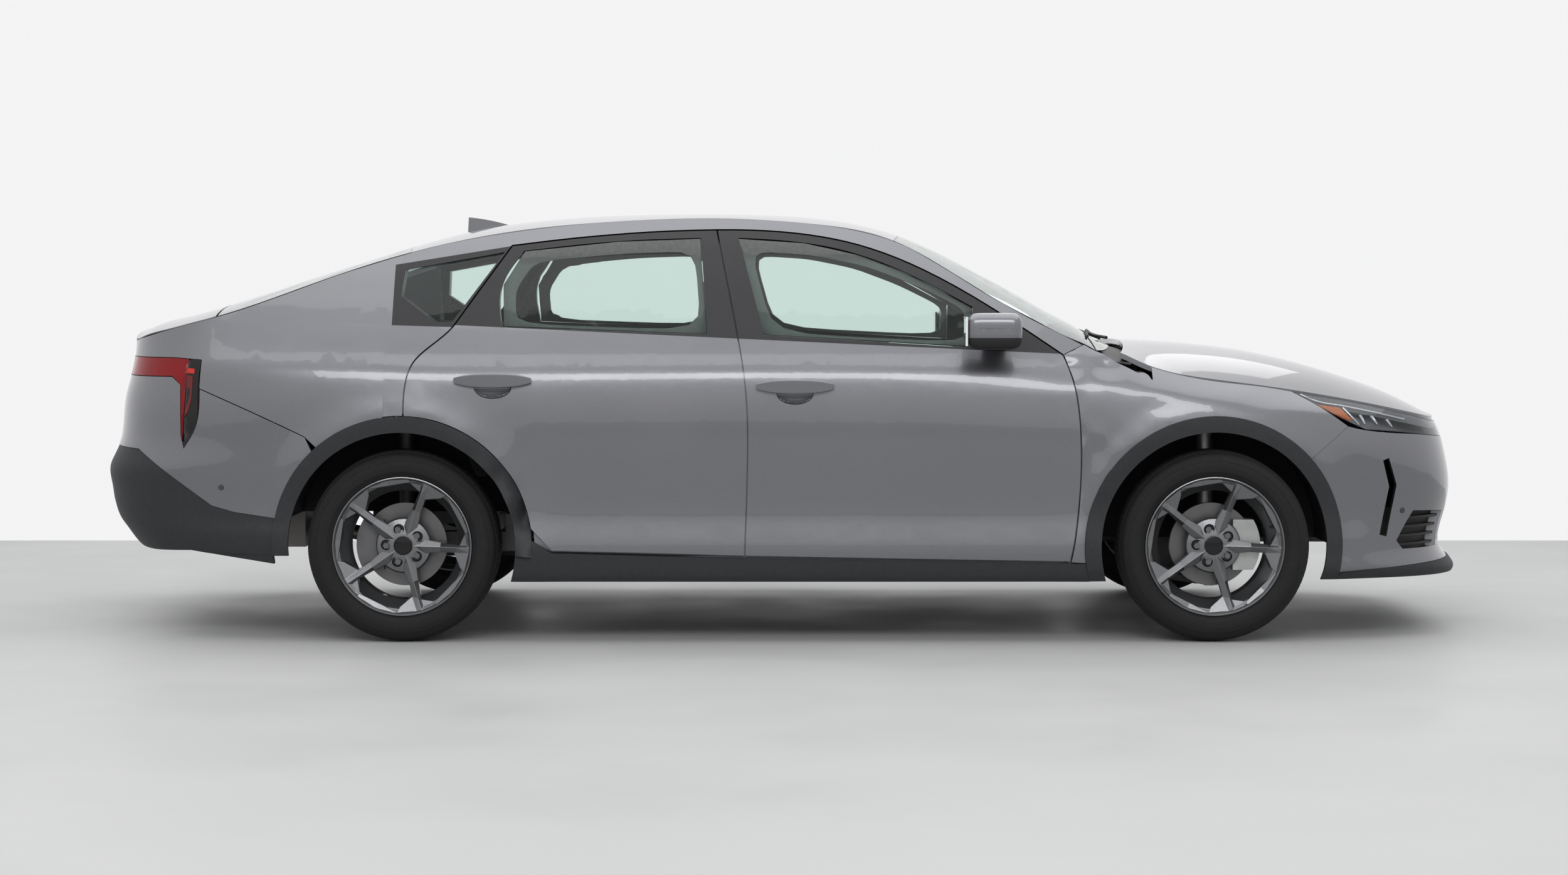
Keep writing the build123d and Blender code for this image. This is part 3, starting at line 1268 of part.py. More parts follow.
with BuildPart() as brake_disc:
    add(turned([
        (0, 30), (HAT_RADIUS - 8, 30), (HAT_RADIUS - 8, -DISC_THICKNESS), (DISC_RADIUS, -DISC_THICKNESS),
        (DISC_RADIUS, 0), (HAT_RADIUS, 0), (HAT_RADIUS, HUB_FACE - SEAT), (0, HUB_FACE - SEAT),
    ]))  # fmt: skip
    add(turned([(0, 34), (STUB_RADIUS, 34), (STUB_RADIUS, 34 - STUB_LENGTH), (0, 34 - STUB_LENGTH)]))
    with BuildSketch(Plane.XZ.offset(30)):
        with PolarLocations(BOLT_CIRCLE, BOLTS, start_angle=36):
            Circle(BOLT_RADIUS)
    extrude(amount=34)
    with BuildSketch(Plane.XZ.offset(HUB_FACE + 16 + SEAT)):
        with PolarLocations(BOLT_CIRCLE, BOLTS, start_angle=36):
            RegularPolygon(10.5, 6)
    extrude(amount=14)


def caliper_part(facing):
    """The caliper and its bracket, on the front (1) or rear (-1) side of the disc."""
    with BuildPart() as caliper:
        with BuildSketch(Plane.XZ.offset(-58)):
            Circle(CALIPER)
            Circle(CALIPER_FOOT, mode=Mode.SUBTRACT)
            with Locations((facing * 150, 0)):
                Rectangle(160, 170, mode=Mode.INTERSECT)
        extrude(amount=58 + 28)
        near, far, reach = ROTOR_CLEAR, -DISC_THICKNESS - ROTOR_CLEAR, DISC_RADIUS + 4
        add(turned([(0, near), (reach, near), (reach, far), (0, far)]), mode=Mode.SUBTRACT)
        block(facing * 30, facing * 100, 28, 52, -24, 24)
    return caliper.part


def carrier_part(facing):
    """What holds a hub: the bearing housing, bored for the stub, with the caliper."""
    with BuildPart() as carrier:
        bore = STUB_RADIUS + RUNNING
        out = CARRIER_OUT - 4
        add(turned([(bore, out), (CARRIER, out), (CARRIER, CARRIER_IN), (bore, CARRIER_IN)]))
        add(caliper_part(facing))
        add(turned([(0, 200), (bore, 200), (bore, -200), (0, -200)]), mode=Mode.SUBTRACT)
    return carrier.part


def at_wheel(part, axle):
    return Pos(axle, -WHEEL_Y, AXLE_Z) * part


for end, axle in (("front", FRONT_AXLE_X), ("rear", REAR_AXLE_X)):
    both_sides(at_wheel(rim.part, axle), f"rim_{end}")
    both_sides(at_wheel(tyre.part, axle), f"tyre_{end}")
    both_sides(at_wheel(brake_disc.part, axle), f"brake_disc_{end}")

# Front knuckles: hub carrier, ball joint boss and strut
STRUT = 27
STRUT_Y = 628
STRUT_FOOT_Z = 400
BOSS = 24
with BuildPart() as knuckle:
    add(at_wheel(carrier_part(1), FRONT_AXLE_X))
    with BuildSketch(KING.offset(18)):
        Circle(BOSS)
    extrude(amount=34)
    block(FRONT_AXLE_X - 20, FRONT_AXLE_X + 20, -WHEEL_Y - CARRIER_OUT, -WHEEL_Y - CARRIER_IN + 2, 236, 296)
    block(FRONT_AXLE_X - 24, FRONT_AXLE_X + 24, -745, -STRUT_Y + 10, AXLE_Z + 30, AXLE_Z + 86)
    with BuildSketch(Plane(
        origin=(FRONT_AXLE_X, -STRUT_Y, STRUT_FOOT_Z - 40), x_dir=(1, 0, 0), z_dir=(0, 0.085, 1),
    )):
        Circle(STRUT)
    extrude(amount=440)
    add(turned([(0, 200), (STUB_RADIUS + RUNNING, 200), (STUB_RADIUS + RUNNING, -200), (0, -200)]).moved(
        Location((FRONT_AXLE_X, -WHEEL_Y, AXLE_Z))), mode=Mode.SUBTRACT)
    with BuildSketch(KING):
        Circle(PIN + RUNNING)
    extrude(amount=46, mode=Mode.SUBTRACT)
    with BuildSketch(KING.offset(KING_LENGTH - 110)):
        Circle(PIN)
    extrude(amount=118)
both_sides(knuckle.part, "knuckle")

# Front subframe and lower arms
ARM_Z = 178
ARM = 22
ARM_TIP = 15
with BuildPart() as subframe_half:
    block(FRONT_AXLE_X - 150, FRONT_AXLE_X + 110, -430, 1, 196, 250)
    block(FRONT_AXLE_X - 140, FRONT_AXLE_X - 80, -460, -410, 230, RAIL_LOW - SEAT)
    block(FRONT_AXLE_X + 40, FRONT_AXLE_X + 100, -460, -410, 230, RAIL_LOW - SEAT)
    with BuildSketch(Plane.XY.offset(ARM_Z)):
        with BuildLine():
            arm = [
                (-150, -400), (-150, -440), (-40, -680), (-ARM_TIP, -700), (-ARM_TIP, -752),
                (ARM_TIP, -752), (ARM_TIP, -700), (36, -680), (110, -440), (110, -400),
            ]  # fmt: skip
            Polyline(*[(FRONT_AXLE_X + x, y) for x, y in arm], close=True)
        make_face()
    extrude(amount=ARM)
    with BuildSketch(KING.offset(-10)):
        Circle(PIN)
    extrude(amount=46)
save(joined(subframe_half.part), "front_subframe")

# Rear axle: cross beam, trailing arms, carriers and dampers
ARM_Y = 585
with BuildPart() as rear_half:
    add(at_wheel(carrier_part(-1), REAR_AXLE_X))
    block(REAR_AXLE_X - 40, REAR_AXLE_X + 60, -WHEEL_Y - CARRIER_IN - 20, -ARM_Y - 20, 285, 360)
    block(REAR_AXLE_X - 60, -880, -ARM_Y - 35, -ARM_Y + 35, 285, 350)
    block(-950, -880, -ARM_Y + 95, -ARM_Y - 35, 300, BOOT_Z - SEAT)
    block(-1130, -1050, -ARM_Y, 1, 285, 345)
    with BuildSketch(Plane.XY.offset(340)):
        with Locations((REAR_AXLE_X - 20, -ARM_Y)):
            Circle(26)
    extrude(amount=AXLE_Z + WHEELHOUSE - 340 - 3)
    add(turned([(0, 200), (STUB_RADIUS + RUNNING, 200), (STUB_RADIUS + RUNNING, -200), (0, -200)]).moved(
        Location((REAR_AXLE_X, -WHEEL_Y, AXLE_Z))), mode=Mode.SUBTRACT)
save(joined(rear_half.part), "rear_axle")

# Exhaust: pipe in the tunnel, silencer under the boot and the tail pipe
PIPE = 27
with BuildPart() as exhaust:
    with BuildLine() as run:
        FilletPolyline(
            (1494, 0, 320), (1120, 0, 285), (-700, 0, 285), (-950, 0, 240), (-1300, 0, 240),
            (-1700, 0, 330), radius=120,
        )
    with BuildSketch(Plane(origin=run.line @ 0, z_dir=run.line % 0)):
        Circle(PIPE)
    sweep()
    block(-2000, -1690, -300, 300, 270, 395)
    block(-1900, -1800, -200, 200, 390, BOOT_Z - SEAT)
    with BuildSketch(Plane(origin=(-1990, -230, 298), z_dir=(-1, 0, 0))):
        Circle(PIPE)
    extrude(amount=170)
save(exhaust.part, "exhaust")
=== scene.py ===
# %% [markdown]
# A four-door fastback sedan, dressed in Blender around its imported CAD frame.
# Each cell makes one piece or one finish. X points forwards, Y to the car's left and Z up, all in metres.
# The car stands on its tyres at Z 0, and the camera looks at its right side.

# %% Load the frame
import json
import math

import bpy
from mathutils import Matrix, Vector
from mathutils.bvhtree import BVHTree

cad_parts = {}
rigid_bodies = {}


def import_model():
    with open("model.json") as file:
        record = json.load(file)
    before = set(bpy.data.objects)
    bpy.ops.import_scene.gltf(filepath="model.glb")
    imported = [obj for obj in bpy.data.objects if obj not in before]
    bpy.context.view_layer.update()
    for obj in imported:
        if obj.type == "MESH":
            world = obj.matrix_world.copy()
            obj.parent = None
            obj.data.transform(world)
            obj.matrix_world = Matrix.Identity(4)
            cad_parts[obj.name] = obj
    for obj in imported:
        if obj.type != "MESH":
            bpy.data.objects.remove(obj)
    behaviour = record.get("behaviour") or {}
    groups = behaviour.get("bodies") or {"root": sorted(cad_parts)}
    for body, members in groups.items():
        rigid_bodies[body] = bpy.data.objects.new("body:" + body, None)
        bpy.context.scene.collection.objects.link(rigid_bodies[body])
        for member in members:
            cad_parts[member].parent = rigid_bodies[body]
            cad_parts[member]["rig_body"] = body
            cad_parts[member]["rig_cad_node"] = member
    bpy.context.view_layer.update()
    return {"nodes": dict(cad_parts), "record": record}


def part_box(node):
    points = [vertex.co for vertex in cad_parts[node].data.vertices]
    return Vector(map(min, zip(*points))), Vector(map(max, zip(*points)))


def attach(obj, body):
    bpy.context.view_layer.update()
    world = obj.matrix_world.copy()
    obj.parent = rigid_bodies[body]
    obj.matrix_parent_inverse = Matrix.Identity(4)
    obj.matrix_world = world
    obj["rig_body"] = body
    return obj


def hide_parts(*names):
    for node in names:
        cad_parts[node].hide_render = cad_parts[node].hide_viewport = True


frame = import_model()
nodes = frame["nodes"]
SIDES = {"right": -1, "left": 1}
FRONT_AXLE, REAR_AXLE = 1.447, -1.273
WHEEL_OUT, HUB_HEIGHT = 0.785, 0.322
body_of = {
    node: body for body, members in frame["record"]["behaviour"]["bodies"].items() for node in members
}

# %% [markdown]
# ## The camera
# A side view from far away keeps both wheels nearly the same size. The lens is a short telephoto, a little above
# the middle of the doors and tilted down by three degrees, so the floor shows as a wide band.

# %% Camera
bpy.ops.object.select_all(action="DESELECT")
bpy.ops.object.camera_add(location=(0.005, -10.7, 1.188), rotation=(math.radians(90 - 2.92), 0, 0))
camera = bpy.context.object
camera.data.lens = 67.6
camera.data.sensor_width = 36
bpy.context.scene.camera = camera
print("camera", tuple(round(v, 3) for v in camera.location))

# %% [markdown]
# ## Floor, world and lamps
# The studio is white. The world looks white to the camera, to reflections and through glass, and lights the car
# more gently, so pale paint keeps its shape. One broad lamp above draws the light along the shoulders and the roof.

# %% Studio
bpy.context.scene.view_settings.view_transform = "Standard"
world = bpy.data.worlds.new("studio")
bpy.context.scene.world = world
world.use_nodes = True
tree = world.node_tree
tree.nodes.clear()
out = tree.nodes.new("ShaderNodeOutputWorld")
seen = tree.nodes.new("ShaderNodeBackground")
seen.inputs["Color"].default_value = (0.90, 0.90, 0.91, 1)
seen.inputs["Strength"].default_value = 1.0
lit = tree.nodes.new("ShaderNodeBackground")
lit.inputs["Color"].default_value = (0.95, 0.97, 1.0, 1)
lit.inputs["Strength"].default_value = 0.55
path = tree.nodes.new("ShaderNodeLightPath")
either = tree.nodes.new("ShaderNodeMath")
either.operation = "MAXIMUM"
both = tree.nodes.new("ShaderNodeMath")
both.operation = "MAXIMUM"
mix = tree.nodes.new("ShaderNodeMixShader")
tree.links.new(path.outputs["Is Camera Ray"], either.inputs[0])
tree.links.new(path.outputs["Is Transmission Ray"], either.inputs[1])
tree.links.new(either.outputs[0], both.inputs[0])
tree.links.new(path.outputs["Is Glossy Ray"], both.inputs[1])
tree.links.new(both.outputs[0], mix.inputs[0])
tree.links.new(lit.outputs[0], mix.inputs[1])
tree.links.new(seen.outputs[0], mix.inputs[2])
tree.links.new(mix.outputs[0], out.inputs["Surface"])


def lamp(name, place, aim, size, power):
    """One soft rectangular lamp that points at a place."""
    bpy.ops.object.light_add(type="AREA", location=place)
    light = bpy.context.object
    light.name = name
    light.data.shape = "RECTANGLE"
    light.data.size, light.data.size_y = size
    light.data.energy = power
    light.rotation_euler = (Vector(aim) - Vector(place)).to_track_quat("-Z", "Y").to_euler()
    return light


lamp("roof_light", (0, 0, 5.5), (0, 0, 0), (12, 7), 300)
lamp("near_light", (0, -7, 4.5), (0, 0, 0.6), (8, 2), 210)
lamp("far_light", (0, 7, 4.5), (0, 0, 0.6), (8, 2), 48)

# %% [markdown]
# ## Material helpers
# Every finish is a Principled shader whose colour, roughness and surface get their small changes from noise on
# Object coordinates. Since every piece's object sits at the origin, those are also the car's own coordinates.


# %% Material helpers
def shader(name, color, roughness, metallic=0.0, **sockets):
    """A new material with one Principled shader; returns the material, its tree, the shader and the coordinates."""
    mat = bpy.data.materials.new(name)
    mat.use_nodes = True
    nodes_of = mat.node_tree.nodes
    main = nodes_of["Principled BSDF"]
    main.inputs["Base Color"].default_value = (*color, 1)
    main.inputs["Roughness"].default_value = roughness
    main.inputs["Metallic"].default_value = metallic
    for socket, value in sockets.items():
        main.inputs[socket.replace("_", " ")].default_value = value
    where = nodes_of.new("ShaderNodeTexCoord").outputs["Object"]
    return mat, mat.node_tree, main, where


def noise(tree, where, scale, detail=3):
    node = tree.nodes.new("ShaderNodeTexNoise")
    node.inputs["Scale"].default_value = scale
    node.inputs["Detail"].default_value = detail
    tree.links.new(where, node.inputs["Vector"])
    return node.outputs["Fac"]


def spread(tree, fac, low, high):
    """Maps a noise value to colours or roughness values between low and high."""
    ramp = tree.nodes.new("ShaderNodeMapRange")
    ramp.inputs["From Min"].default_value, ramp.inputs["From Max"].default_value = 0.3, 0.7
    ramp.inputs["To Min"].default_value, ramp.inputs["To Max"].default_value = low, high
    tree.links.new(fac, ramp.inputs["Value"])
    return ramp.outputs["Result"]


def blend_colors(tree, fac, first, second):
    """A colour that goes from first to second; each is a colour or a socket."""
    node = tree.nodes.new("ShaderNodeMix")
    node.data_type = "RGBA"
    tree.links.new(fac, node.inputs["Factor"])
    for socket, value in ((node.inputs["A"], first), (node.inputs["B"], second)):
        if isinstance(value, tuple):
            socket.default_value = (*value, 1)
        else:
            tree.links.new(value, socket)
    return node.outputs["Result"]


def bump(tree, main, height, strength, distance):
    node = tree.nodes.new("ShaderNodeBump")
    node.inputs["Strength"].default_value = strength
    node.inputs["Distance"].default_value = distance
    tree.links.new(height, node.inputs["Height"])
    tree.links.new(node.outputs["Normal"], main.inputs["Normal"])


# %% [markdown]
# ## Car paint
# The car wears a medium grey metallic paint: tiny flakes under a clear coat. Flakes are cells of a fine Voronoi
# pattern that change the colour a little, and the coat gives the sharp reflection. Window frames are part of the
# same panels in a dark satin film, so those panels get the film on the faces that lie past a few planes.

# %% Car paint
body_paint, tree, main, where = shader(
    "body_paint", (0.155, 0.157, 0.168), 0.34, 0.78, Coat_Weight=0.9, Coat_Roughness=0.035
)
cells = tree.nodes.new("ShaderNodeTexVoronoi")
cells.inputs["Scale"].default_value = 900
tree.links.new(where, cells.inputs["Vector"])
flakes = blend_colors(tree, cells.outputs["Distance"], (0.200, 0.202, 0.216), (0.140, 0.142, 0.156))
tree.links.new(flakes, main.inputs["Base Color"])
tree.links.new(spread(tree, noise(tree, where, 3.0), 0.31, 0.37), main.inputs["Roughness"])
print("paint mixed")

# %% [markdown]
# ## Plastics, rubber and metals
# The cladding is a grained charcoal plastic: its grain is a fine noise bump. Tyres are nearly black and dull.
# Castings are rough, the brake discs are turned, and cloth shows its weave as two crossed waves.


# %% Plain finishes
def grained(name, color, roughness, grain, depth, metallic=0.0, swing=0.25, **sockets):
    """A finish with fine grain: the noise moves its colour and roughness and raises its surface."""
    mat, tree, main, where = shader(name, color, roughness, metallic, **sockets)
    darker, lighter = (tuple(c * k for c in color) for k in (1 - swing, 1 + swing))
    tree.links.new(
        blend_colors(tree, noise(tree, where, grain / 12), darker, lighter), main.inputs["Base Color"],
    )
    tree.links.new(
        spread(tree, noise(tree, where, grain / 3), roughness - 0.05, roughness + 0.05),
        main.inputs["Roughness"],
    )
    bump(tree, main, noise(tree, where, grain, 2), 0.35, depth)
    return mat


cladding = grained("cladding", (0.021, 0.022, 0.025), 0.58, 700, 0.0004, Specular_IOR_Level=0.4)
frame_film = grained("frame_film", (0.014, 0.014, 0.016), 0.38, 500, 0.0001, Specular_IOR_Level=0.4)
black_plastic = grained("black_plastic", (0.010, 0.010, 0.011), 0.5, 500, 0.0004, Specular_IOR_Level=0.35)
gloss_black = grained("gloss_black", (0.006, 0.006, 0.007), 0.14, 60, 0.00002, Specular_IOR_Level=0.35)
underbody = grained("underbody", (0.012, 0.012, 0.013), 0.75, 120, 0.001, Specular_IOR_Level=0.3)
tyre_rubber = grained("tyre_rubber", (0.0095, 0.0095, 0.010), 0.74, 420, 0.0005, Specular_IOR_Level=0.3)
casting = grained("casting", (0.13, 0.13, 0.135), 0.55, 260, 0.0008, metallic=0.7)
caliper_metal = grained("caliper_metal", (0.40, 0.41, 0.40), 0.42, 260, 0.0005, metallic=0.8)
turned_steel = grained("turned_steel", (0.135, 0.135, 0.135), 0.40, 160, 0.0002, metallic=0.9)
pipe_steel = grained("pipe_steel", (0.20, 0.19, 0.18), 0.45, 90, 0.0004, metallic=0.85)
rim_paint = grained(
    "rim_paint", (0.165, 0.168, 0.175), 0.33, 500, 0.00005, metallic=0.85, swing=0.06, Coat_Weight=0.5,
)
bright_cut = grained("bright_cut", (0.52, 0.53, 0.55), 0.24, 300, 0.00005, metallic=0.95, swing=0.06)
soft_plastic = grained("soft_plastic", (0.040, 0.040, 0.043), 0.62, 650, 0.0005)
leather = grained("leather", (0.022, 0.022, 0.024), 0.45, 380, 0.0006)
seal_rubber = grained("seal_rubber", (0.012, 0.012, 0.013), 0.6, 300, 0.0002)
# Painted shade: the door lining is pale grey cloth, given a darker grey here for the shade it lies in inside the car.
painted_shade_lining = grained("painted_shade_lining", (0.13, 0.135, 0.13), 0.85, 900, 0.0006, Specular_IOR_Level=0.2)
print(len(bpy.data.materials), "materials so far")

# %% [markdown]
# ## Cloth
# Seat cloth is woven: two crossed waves at a 2 mm pitch make the weave's height, and a slow noise varies its colour.

# %% Cloth
seat_cloth, tree, main, where = shader("seat_cloth", (0.045, 0.046, 0.05), 0.9, Sheen_Weight=0.3)
heights = []
for axis in ("X", "Z"):
    wave = tree.nodes.new("ShaderNodeTexWave")
    wave.bands_direction = axis
    wave.inputs["Scale"].default_value = 160
    wave.inputs["Distortion"].default_value = 0.6
    tree.links.new(where, wave.inputs["Vector"])
    heights.append(wave.outputs["Fac"])
weave = tree.nodes.new("ShaderNodeMath")
weave.operation = "MULTIPLY"
tree.links.new(heights[0], weave.inputs[0])
tree.links.new(heights[1], weave.inputs[1])
bump(tree, main, weave.outputs[0], 0.5, 0.0008)
patches = blend_colors(tree, noise(tree, where, 18), (0.036, 0.037, 0.041), (0.060, 0.061, 0.066))
tree.links.new(patches, main.inputs["Base Color"])

# %% [markdown]
# ## Glass and lamp lenses
# Window glass lets light through with a faint green tint. Real car glass is thin, so a low index of refraction
# keeps the view straight while the Principled shader still reflects. Lamp lenses are clear or red.


# %% Glass
def clear(name, color, roughness=0.0, ior=1.3, through=1.0):
    mat, tree, main, where = shader(name, color, roughness, IOR=ior, Transmission_Weight=through)
    tint = blend_colors(tree, noise(tree, where, 2.0), color, tuple(c * 0.96 for c in color))
    tree.links.new(tint, main.inputs["Base Color"])
    return mat


window_glass = clear("window_glass", (0.80, 0.90, 0.86))
lamp_glass = clear("lamp_glass", (0.92, 0.94, 0.96), ior=1.25)
red_lens = clear("red_lens", (0.62, 0.012, 0.018), 0.06, 1.35, 0.75)
amber_lens = clear("amber_lens", (0.85, 0.22, 0.02), 0.08, 1.35, 0.6)
mirror_glass = grained("mirror_glass", (0.85, 0.86, 0.87), 0.06, 30, 0.00001, metallic=1.0, swing=0.02)
print("glass done")

# %% [markdown]
# ## Working helpers
# An operator acts on all that is selected, so each helper starts with nothing selected. CAD nodes come as loose
# triangles, which reflect as facets, so a painted panel is shown by a copy whose corners are merged and smoothed.


# %% Working helpers
def alone(obj):
    """Makes one object the only selected one, and active."""
    bpy.ops.object.select_all(action="DESELECT")
    obj.select_set(True)
    bpy.context.view_layer.objects.active = obj
    return obj


def open_all(obj):
    """Opens a piece in edit mode with everything selected."""
    alone(obj)
    bpy.ops.object.mode_set(mode="EDIT")
    bpy.ops.mesh.select_mode(type="VERT")
    bpy.ops.mesh.select_all(action="SELECT")


def open_faces(obj, test):
    """Opens a piece in edit mode with only the faces selected that pass a test."""
    open_all(obj)
    bpy.ops.mesh.select_mode(type="FACE")
    bpy.ops.mesh.select_all(action="DESELECT")
    bpy.ops.object.mode_set(mode="OBJECT")
    for face in obj.data.polygons:
        face.select = test(face)
    bpy.ops.object.mode_set(mode="EDIT")


def close():
    """Leaves edit mode."""
    bpy.ops.object.mode_set(mode="OBJECT")


def wear(obj, *materials):
    """Gives a piece its materials, in slot order."""
    obj.data.materials.clear()
    for mat in materials:
        obj.data.materials.append(mat)
    return obj


def settle(obj, name, body, material=None):
    """Names a finished piece, puts its place into its mesh, and makes it ride on a CAD body."""
    alone(obj)
    bpy.ops.object.transform_apply(location=True, rotation=True, scale=True)
    obj.name = obj.data.name = name
    if material:
        wear(obj, material)
    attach(obj, body)
    return obj


def smooth_copy(node, material, angle=32, name=None):
    """A copy of a CAD node with its corners merged and its faces smoothed; it stands for the node."""
    piece = nodes[node].copy()
    piece.data = nodes[node].data.copy()
    piece.parent = None
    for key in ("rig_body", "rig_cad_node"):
        if key in piece:
            del piece[key]
    bpy.context.scene.collection.objects.link(piece)
    open_all(piece)
    bpy.ops.mesh.remove_doubles(threshold=0.00003)
    close()
    if piece.data.has_custom_normals:
        bpy.ops.mesh.customdata_custom_splitnormals_clear()
    bpy.ops.object.shade_smooth_by_angle(angle=math.radians(angle))
    wear(piece, material)
    piece.name = piece.data.name = name or f"{node}_shown"
    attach(piece, body_of[node])
    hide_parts(node)
    return piece


def ray_onto(piece, start, direction):
    """The first place where a ray meets a piece."""
    tree = BVHTree.FromObject(piece, bpy.context.evaluated_depsgraph_get())
    hit = tree.ray_cast(Vector(start), Vector(direction))
    return hit[0], hit[1]


def near_y(piece, x, z, side=-1):
    """Where the outside of a piece lies on one side of the car."""
    return ray_onto(piece, (x, side * 2, z), (0, -side, 0))[0].y


def drawn(name, points, faces):
    """A mesh from given points and faces, selected and active."""
    mesh = bpy.data.meshes.new(name)
    mesh.from_pydata(points, [], faces)
    obj = bpy.data.objects.new(name, mesh)
    bpy.context.scene.collection.objects.link(obj)
    return alone(obj)


def outwards(obj):
    """Merges doubles and turns all faces outwards."""
    open_all(obj)
    bpy.ops.mesh.remove_doubles(threshold=0.00002)
    bpy.ops.mesh.normals_make_consistent(inside=False)
    close()
    return obj


def finish_with(obj, kind, **settings):
    """Adds a modifier and applies it."""
    alone(obj)
    modifier = obj.modifiers.new(kind.title(), kind)
    for key, value in settings.items():
        setattr(modifier, key, value)
    bpy.ops.object.modifier_apply(modifier=modifier.name)
    return obj


def twin(obj, name, side_flip=True):
    """A copy of a piece with its own mesh, mirrored to the other side of the car."""
    other = obj.copy()
    other.data = obj.data.copy()
    other.parent = None
    bpy.context.scene.collection.objects.link(other)
    if side_flip:
        other.data.transform(Matrix.Diagonal((1, -1, 1, 1)))
        other.data.flip_normals()
    other.name = other.data.name = name
    return other


# %% [markdown]
# ## Body panels
# The CAD panels already have the right shape and shut lines. Each is shown by a smoothed copy in paint or plastic.
# The doors, the sides and the mirrors wear the versions of the paint that turn dark round the windows.

# %% Painted panels
def two_tone(piece, second, planes):
    """Cuts a piece's faces along planes, and gives the second material to the faces past all of them."""
    for direction, reach in planes:
        along = Vector(direction)
        open_all(piece)
        bpy.ops.mesh.bisect(plane_co=along * (reach / along.length_squared), plane_no=along)
        close()
    piece.data.materials.append(second)
    for face in piece.data.polygons:
        face.material_index = int(all(face.center.dot(Vector(d)) > reach for d, reach in planes))
    bpy.ops.object.shade_smooth_by_angle(angle=math.radians(32))
    return piece


BELT = [((0.047, 0, 1), 1.0095)]
QUARTER_FRAME = [((0.163, 0, -1), -1.4786), ((1, 0, 0), -1.3125), ((0.03, 0, 1), 1.0215), ((-1, 0, 0), 0.90)]
MIRROR_FOOT = [((0, 0, -1), -1.022)]
shown = {}
for node in (
    "hood", "trunk_lid", "roof_panel", "front_fenders", "front_bumper", "rear_bumper", "roof_antenna",
):
    shown[node] = smooth_copy(node, body_paint)
for side in SIDES:
    for door in ("front_door", "rear_door"):
        shown[f"{door}_{side}"] = two_tone(smooth_copy(f"{door}_{side}", body_paint), frame_film, BELT)
    housing = smooth_copy(f"door_mirror_{side}", body_paint, 40)
    finish_with(housing, "REMESH", mode="VOXEL", voxel_size=0.0045)
    finish_with(housing, "SMOOTH", factor=0.5, iterations=40)
    shown[f"door_mirror_{side}"] = two_tone(housing, black_plastic, MIRROR_FOOT)
shown["body_sides"] = two_tone(smooth_copy("body_sides", body_paint), frame_film, QUARTER_FRAME)
for node, finish in (
    ("body_cladding", cladding), ("front_lip", cladding), ("rear_valance", cladding),
    ("front_grille", black_plastic),
):
    shown[node] = smooth_copy(node, finish)
print(len(shown), "smoothed panels")

# %% [markdown]
# ## Finishes on the CAD pieces that stay
# Parts that are hidden or plain keep their CAD mesh and only get a better material.

# %% Finishes on CAD pieces
plain = {
    "floor_pan": underbody, "front_structure": underbody, "engine_block": casting, "front_subframe": casting, "rear_axle": casting,
    "exhaust": pipe_steel, "cowl_panel": black_plastic, "rear_shelf": soft_plastic, "windshield": window_glass,
    "rear_window": window_glass, "quarter_windows": window_glass,
}
for side in SIDES:
    plain[f"knuckle_{side}"] = caliper_metal
    for end in ("front", "rear"):
        plain[f"{end}_door_window_{side}"] = window_glass
        plain[f"brake_disc_{end}_{side}"] = turned_steel
for node, finish in plain.items():
    wear(nodes[node], finish)
for node in ("windshield", "rear_window"):
    shown[node] = smooth_copy(node, window_glass)
print(len(plain), "CAD pieces with new finishes")

# %% [markdown]
# ## Tyres
# A tyre is a section turned round its axle. The section is drawn once with its rim bead, the sidewall's rings and the
# shoulder, then spun. Tread blocks are inset one by one on the outer band, which sinks grooves between them. The
# sidewall carries rings but no lettering.

# %% Tyres
TURNS = 90
section = [
    (0.2195, 0.060), (0.2195, 0.0865), (0.226, 0.0915), (0.2330, 0.0925), (0.2350, 0.0950),
    (0.2385, 0.0965), (0.2425, 0.0985),
    (0.2440, 0.1000), (0.2500, 0.1030), (0.2515, 0.1045), (0.2570, 0.1055), (0.2680, 0.1072),
    (0.2800, 0.1066), (0.2850, 0.1052),
    (0.2862, 0.1062), (0.2885, 0.1056), (0.2900, 0.1042), (0.2990, 0.1010), (0.3060, 0.0960),
    (0.3118, 0.0890), (0.3152, 0.0790),
    (0.3172, 0.0660), (0.3120, 0.0650), (0.3120, 0.0600), (0.3180, 0.0590), (0.3190, 0.0330),
    (0.3120, 0.0320), (0.3120, 0.0230),
    (0.3192, 0.0220), (0.3195, 0.0),
]
section = section + [(r, -w) for r, w in reversed(section[:-1])]
points = [(r, -w, 0) for r, w in section]
tyre = drawn("tyre", points, [])
tyre.data.edges.add(len(points) - 1)
for i, edge in enumerate(tyre.data.edges):
    edge.vertices = (i, i + 1)
open_all(bpy.context.object)
bpy.ops.mesh.spin(steps=TURNS, angle=math.tau, center=(0, 0, 0), axis=(0, 1, 0))
close()
outwards(tyre)
open_faces(
    tyre, lambda face: math.hypot(face.center.x, face.center.z) > 0.3135 and abs(face.normal.y) < 0.75,
)
bpy.ops.mesh.inset(thickness=0.0011, depth=0.0024, use_individual=True)
close()
bpy.ops.object.shade_smooth_by_angle(angle=math.radians(28))
print(
    "tyre faces", len(tyre.data.polygons), "radius",
    round(max(math.hypot(v.co.x, v.co.z) for v in tyre.data.vertices), 4)
)

# %% [markdown]
# ## Rims
# The rim is a five-pointed star. Each spoke is a long blade with a sharp ridge that ends in a point at the lip, and a
# flat wing beside the point that turns along the lip. The blade and its wing are drawn as one low mesh, given a back
# by extruding it, and repeated five times by spinning copies. The barrel and the lip are turned like the tyre.

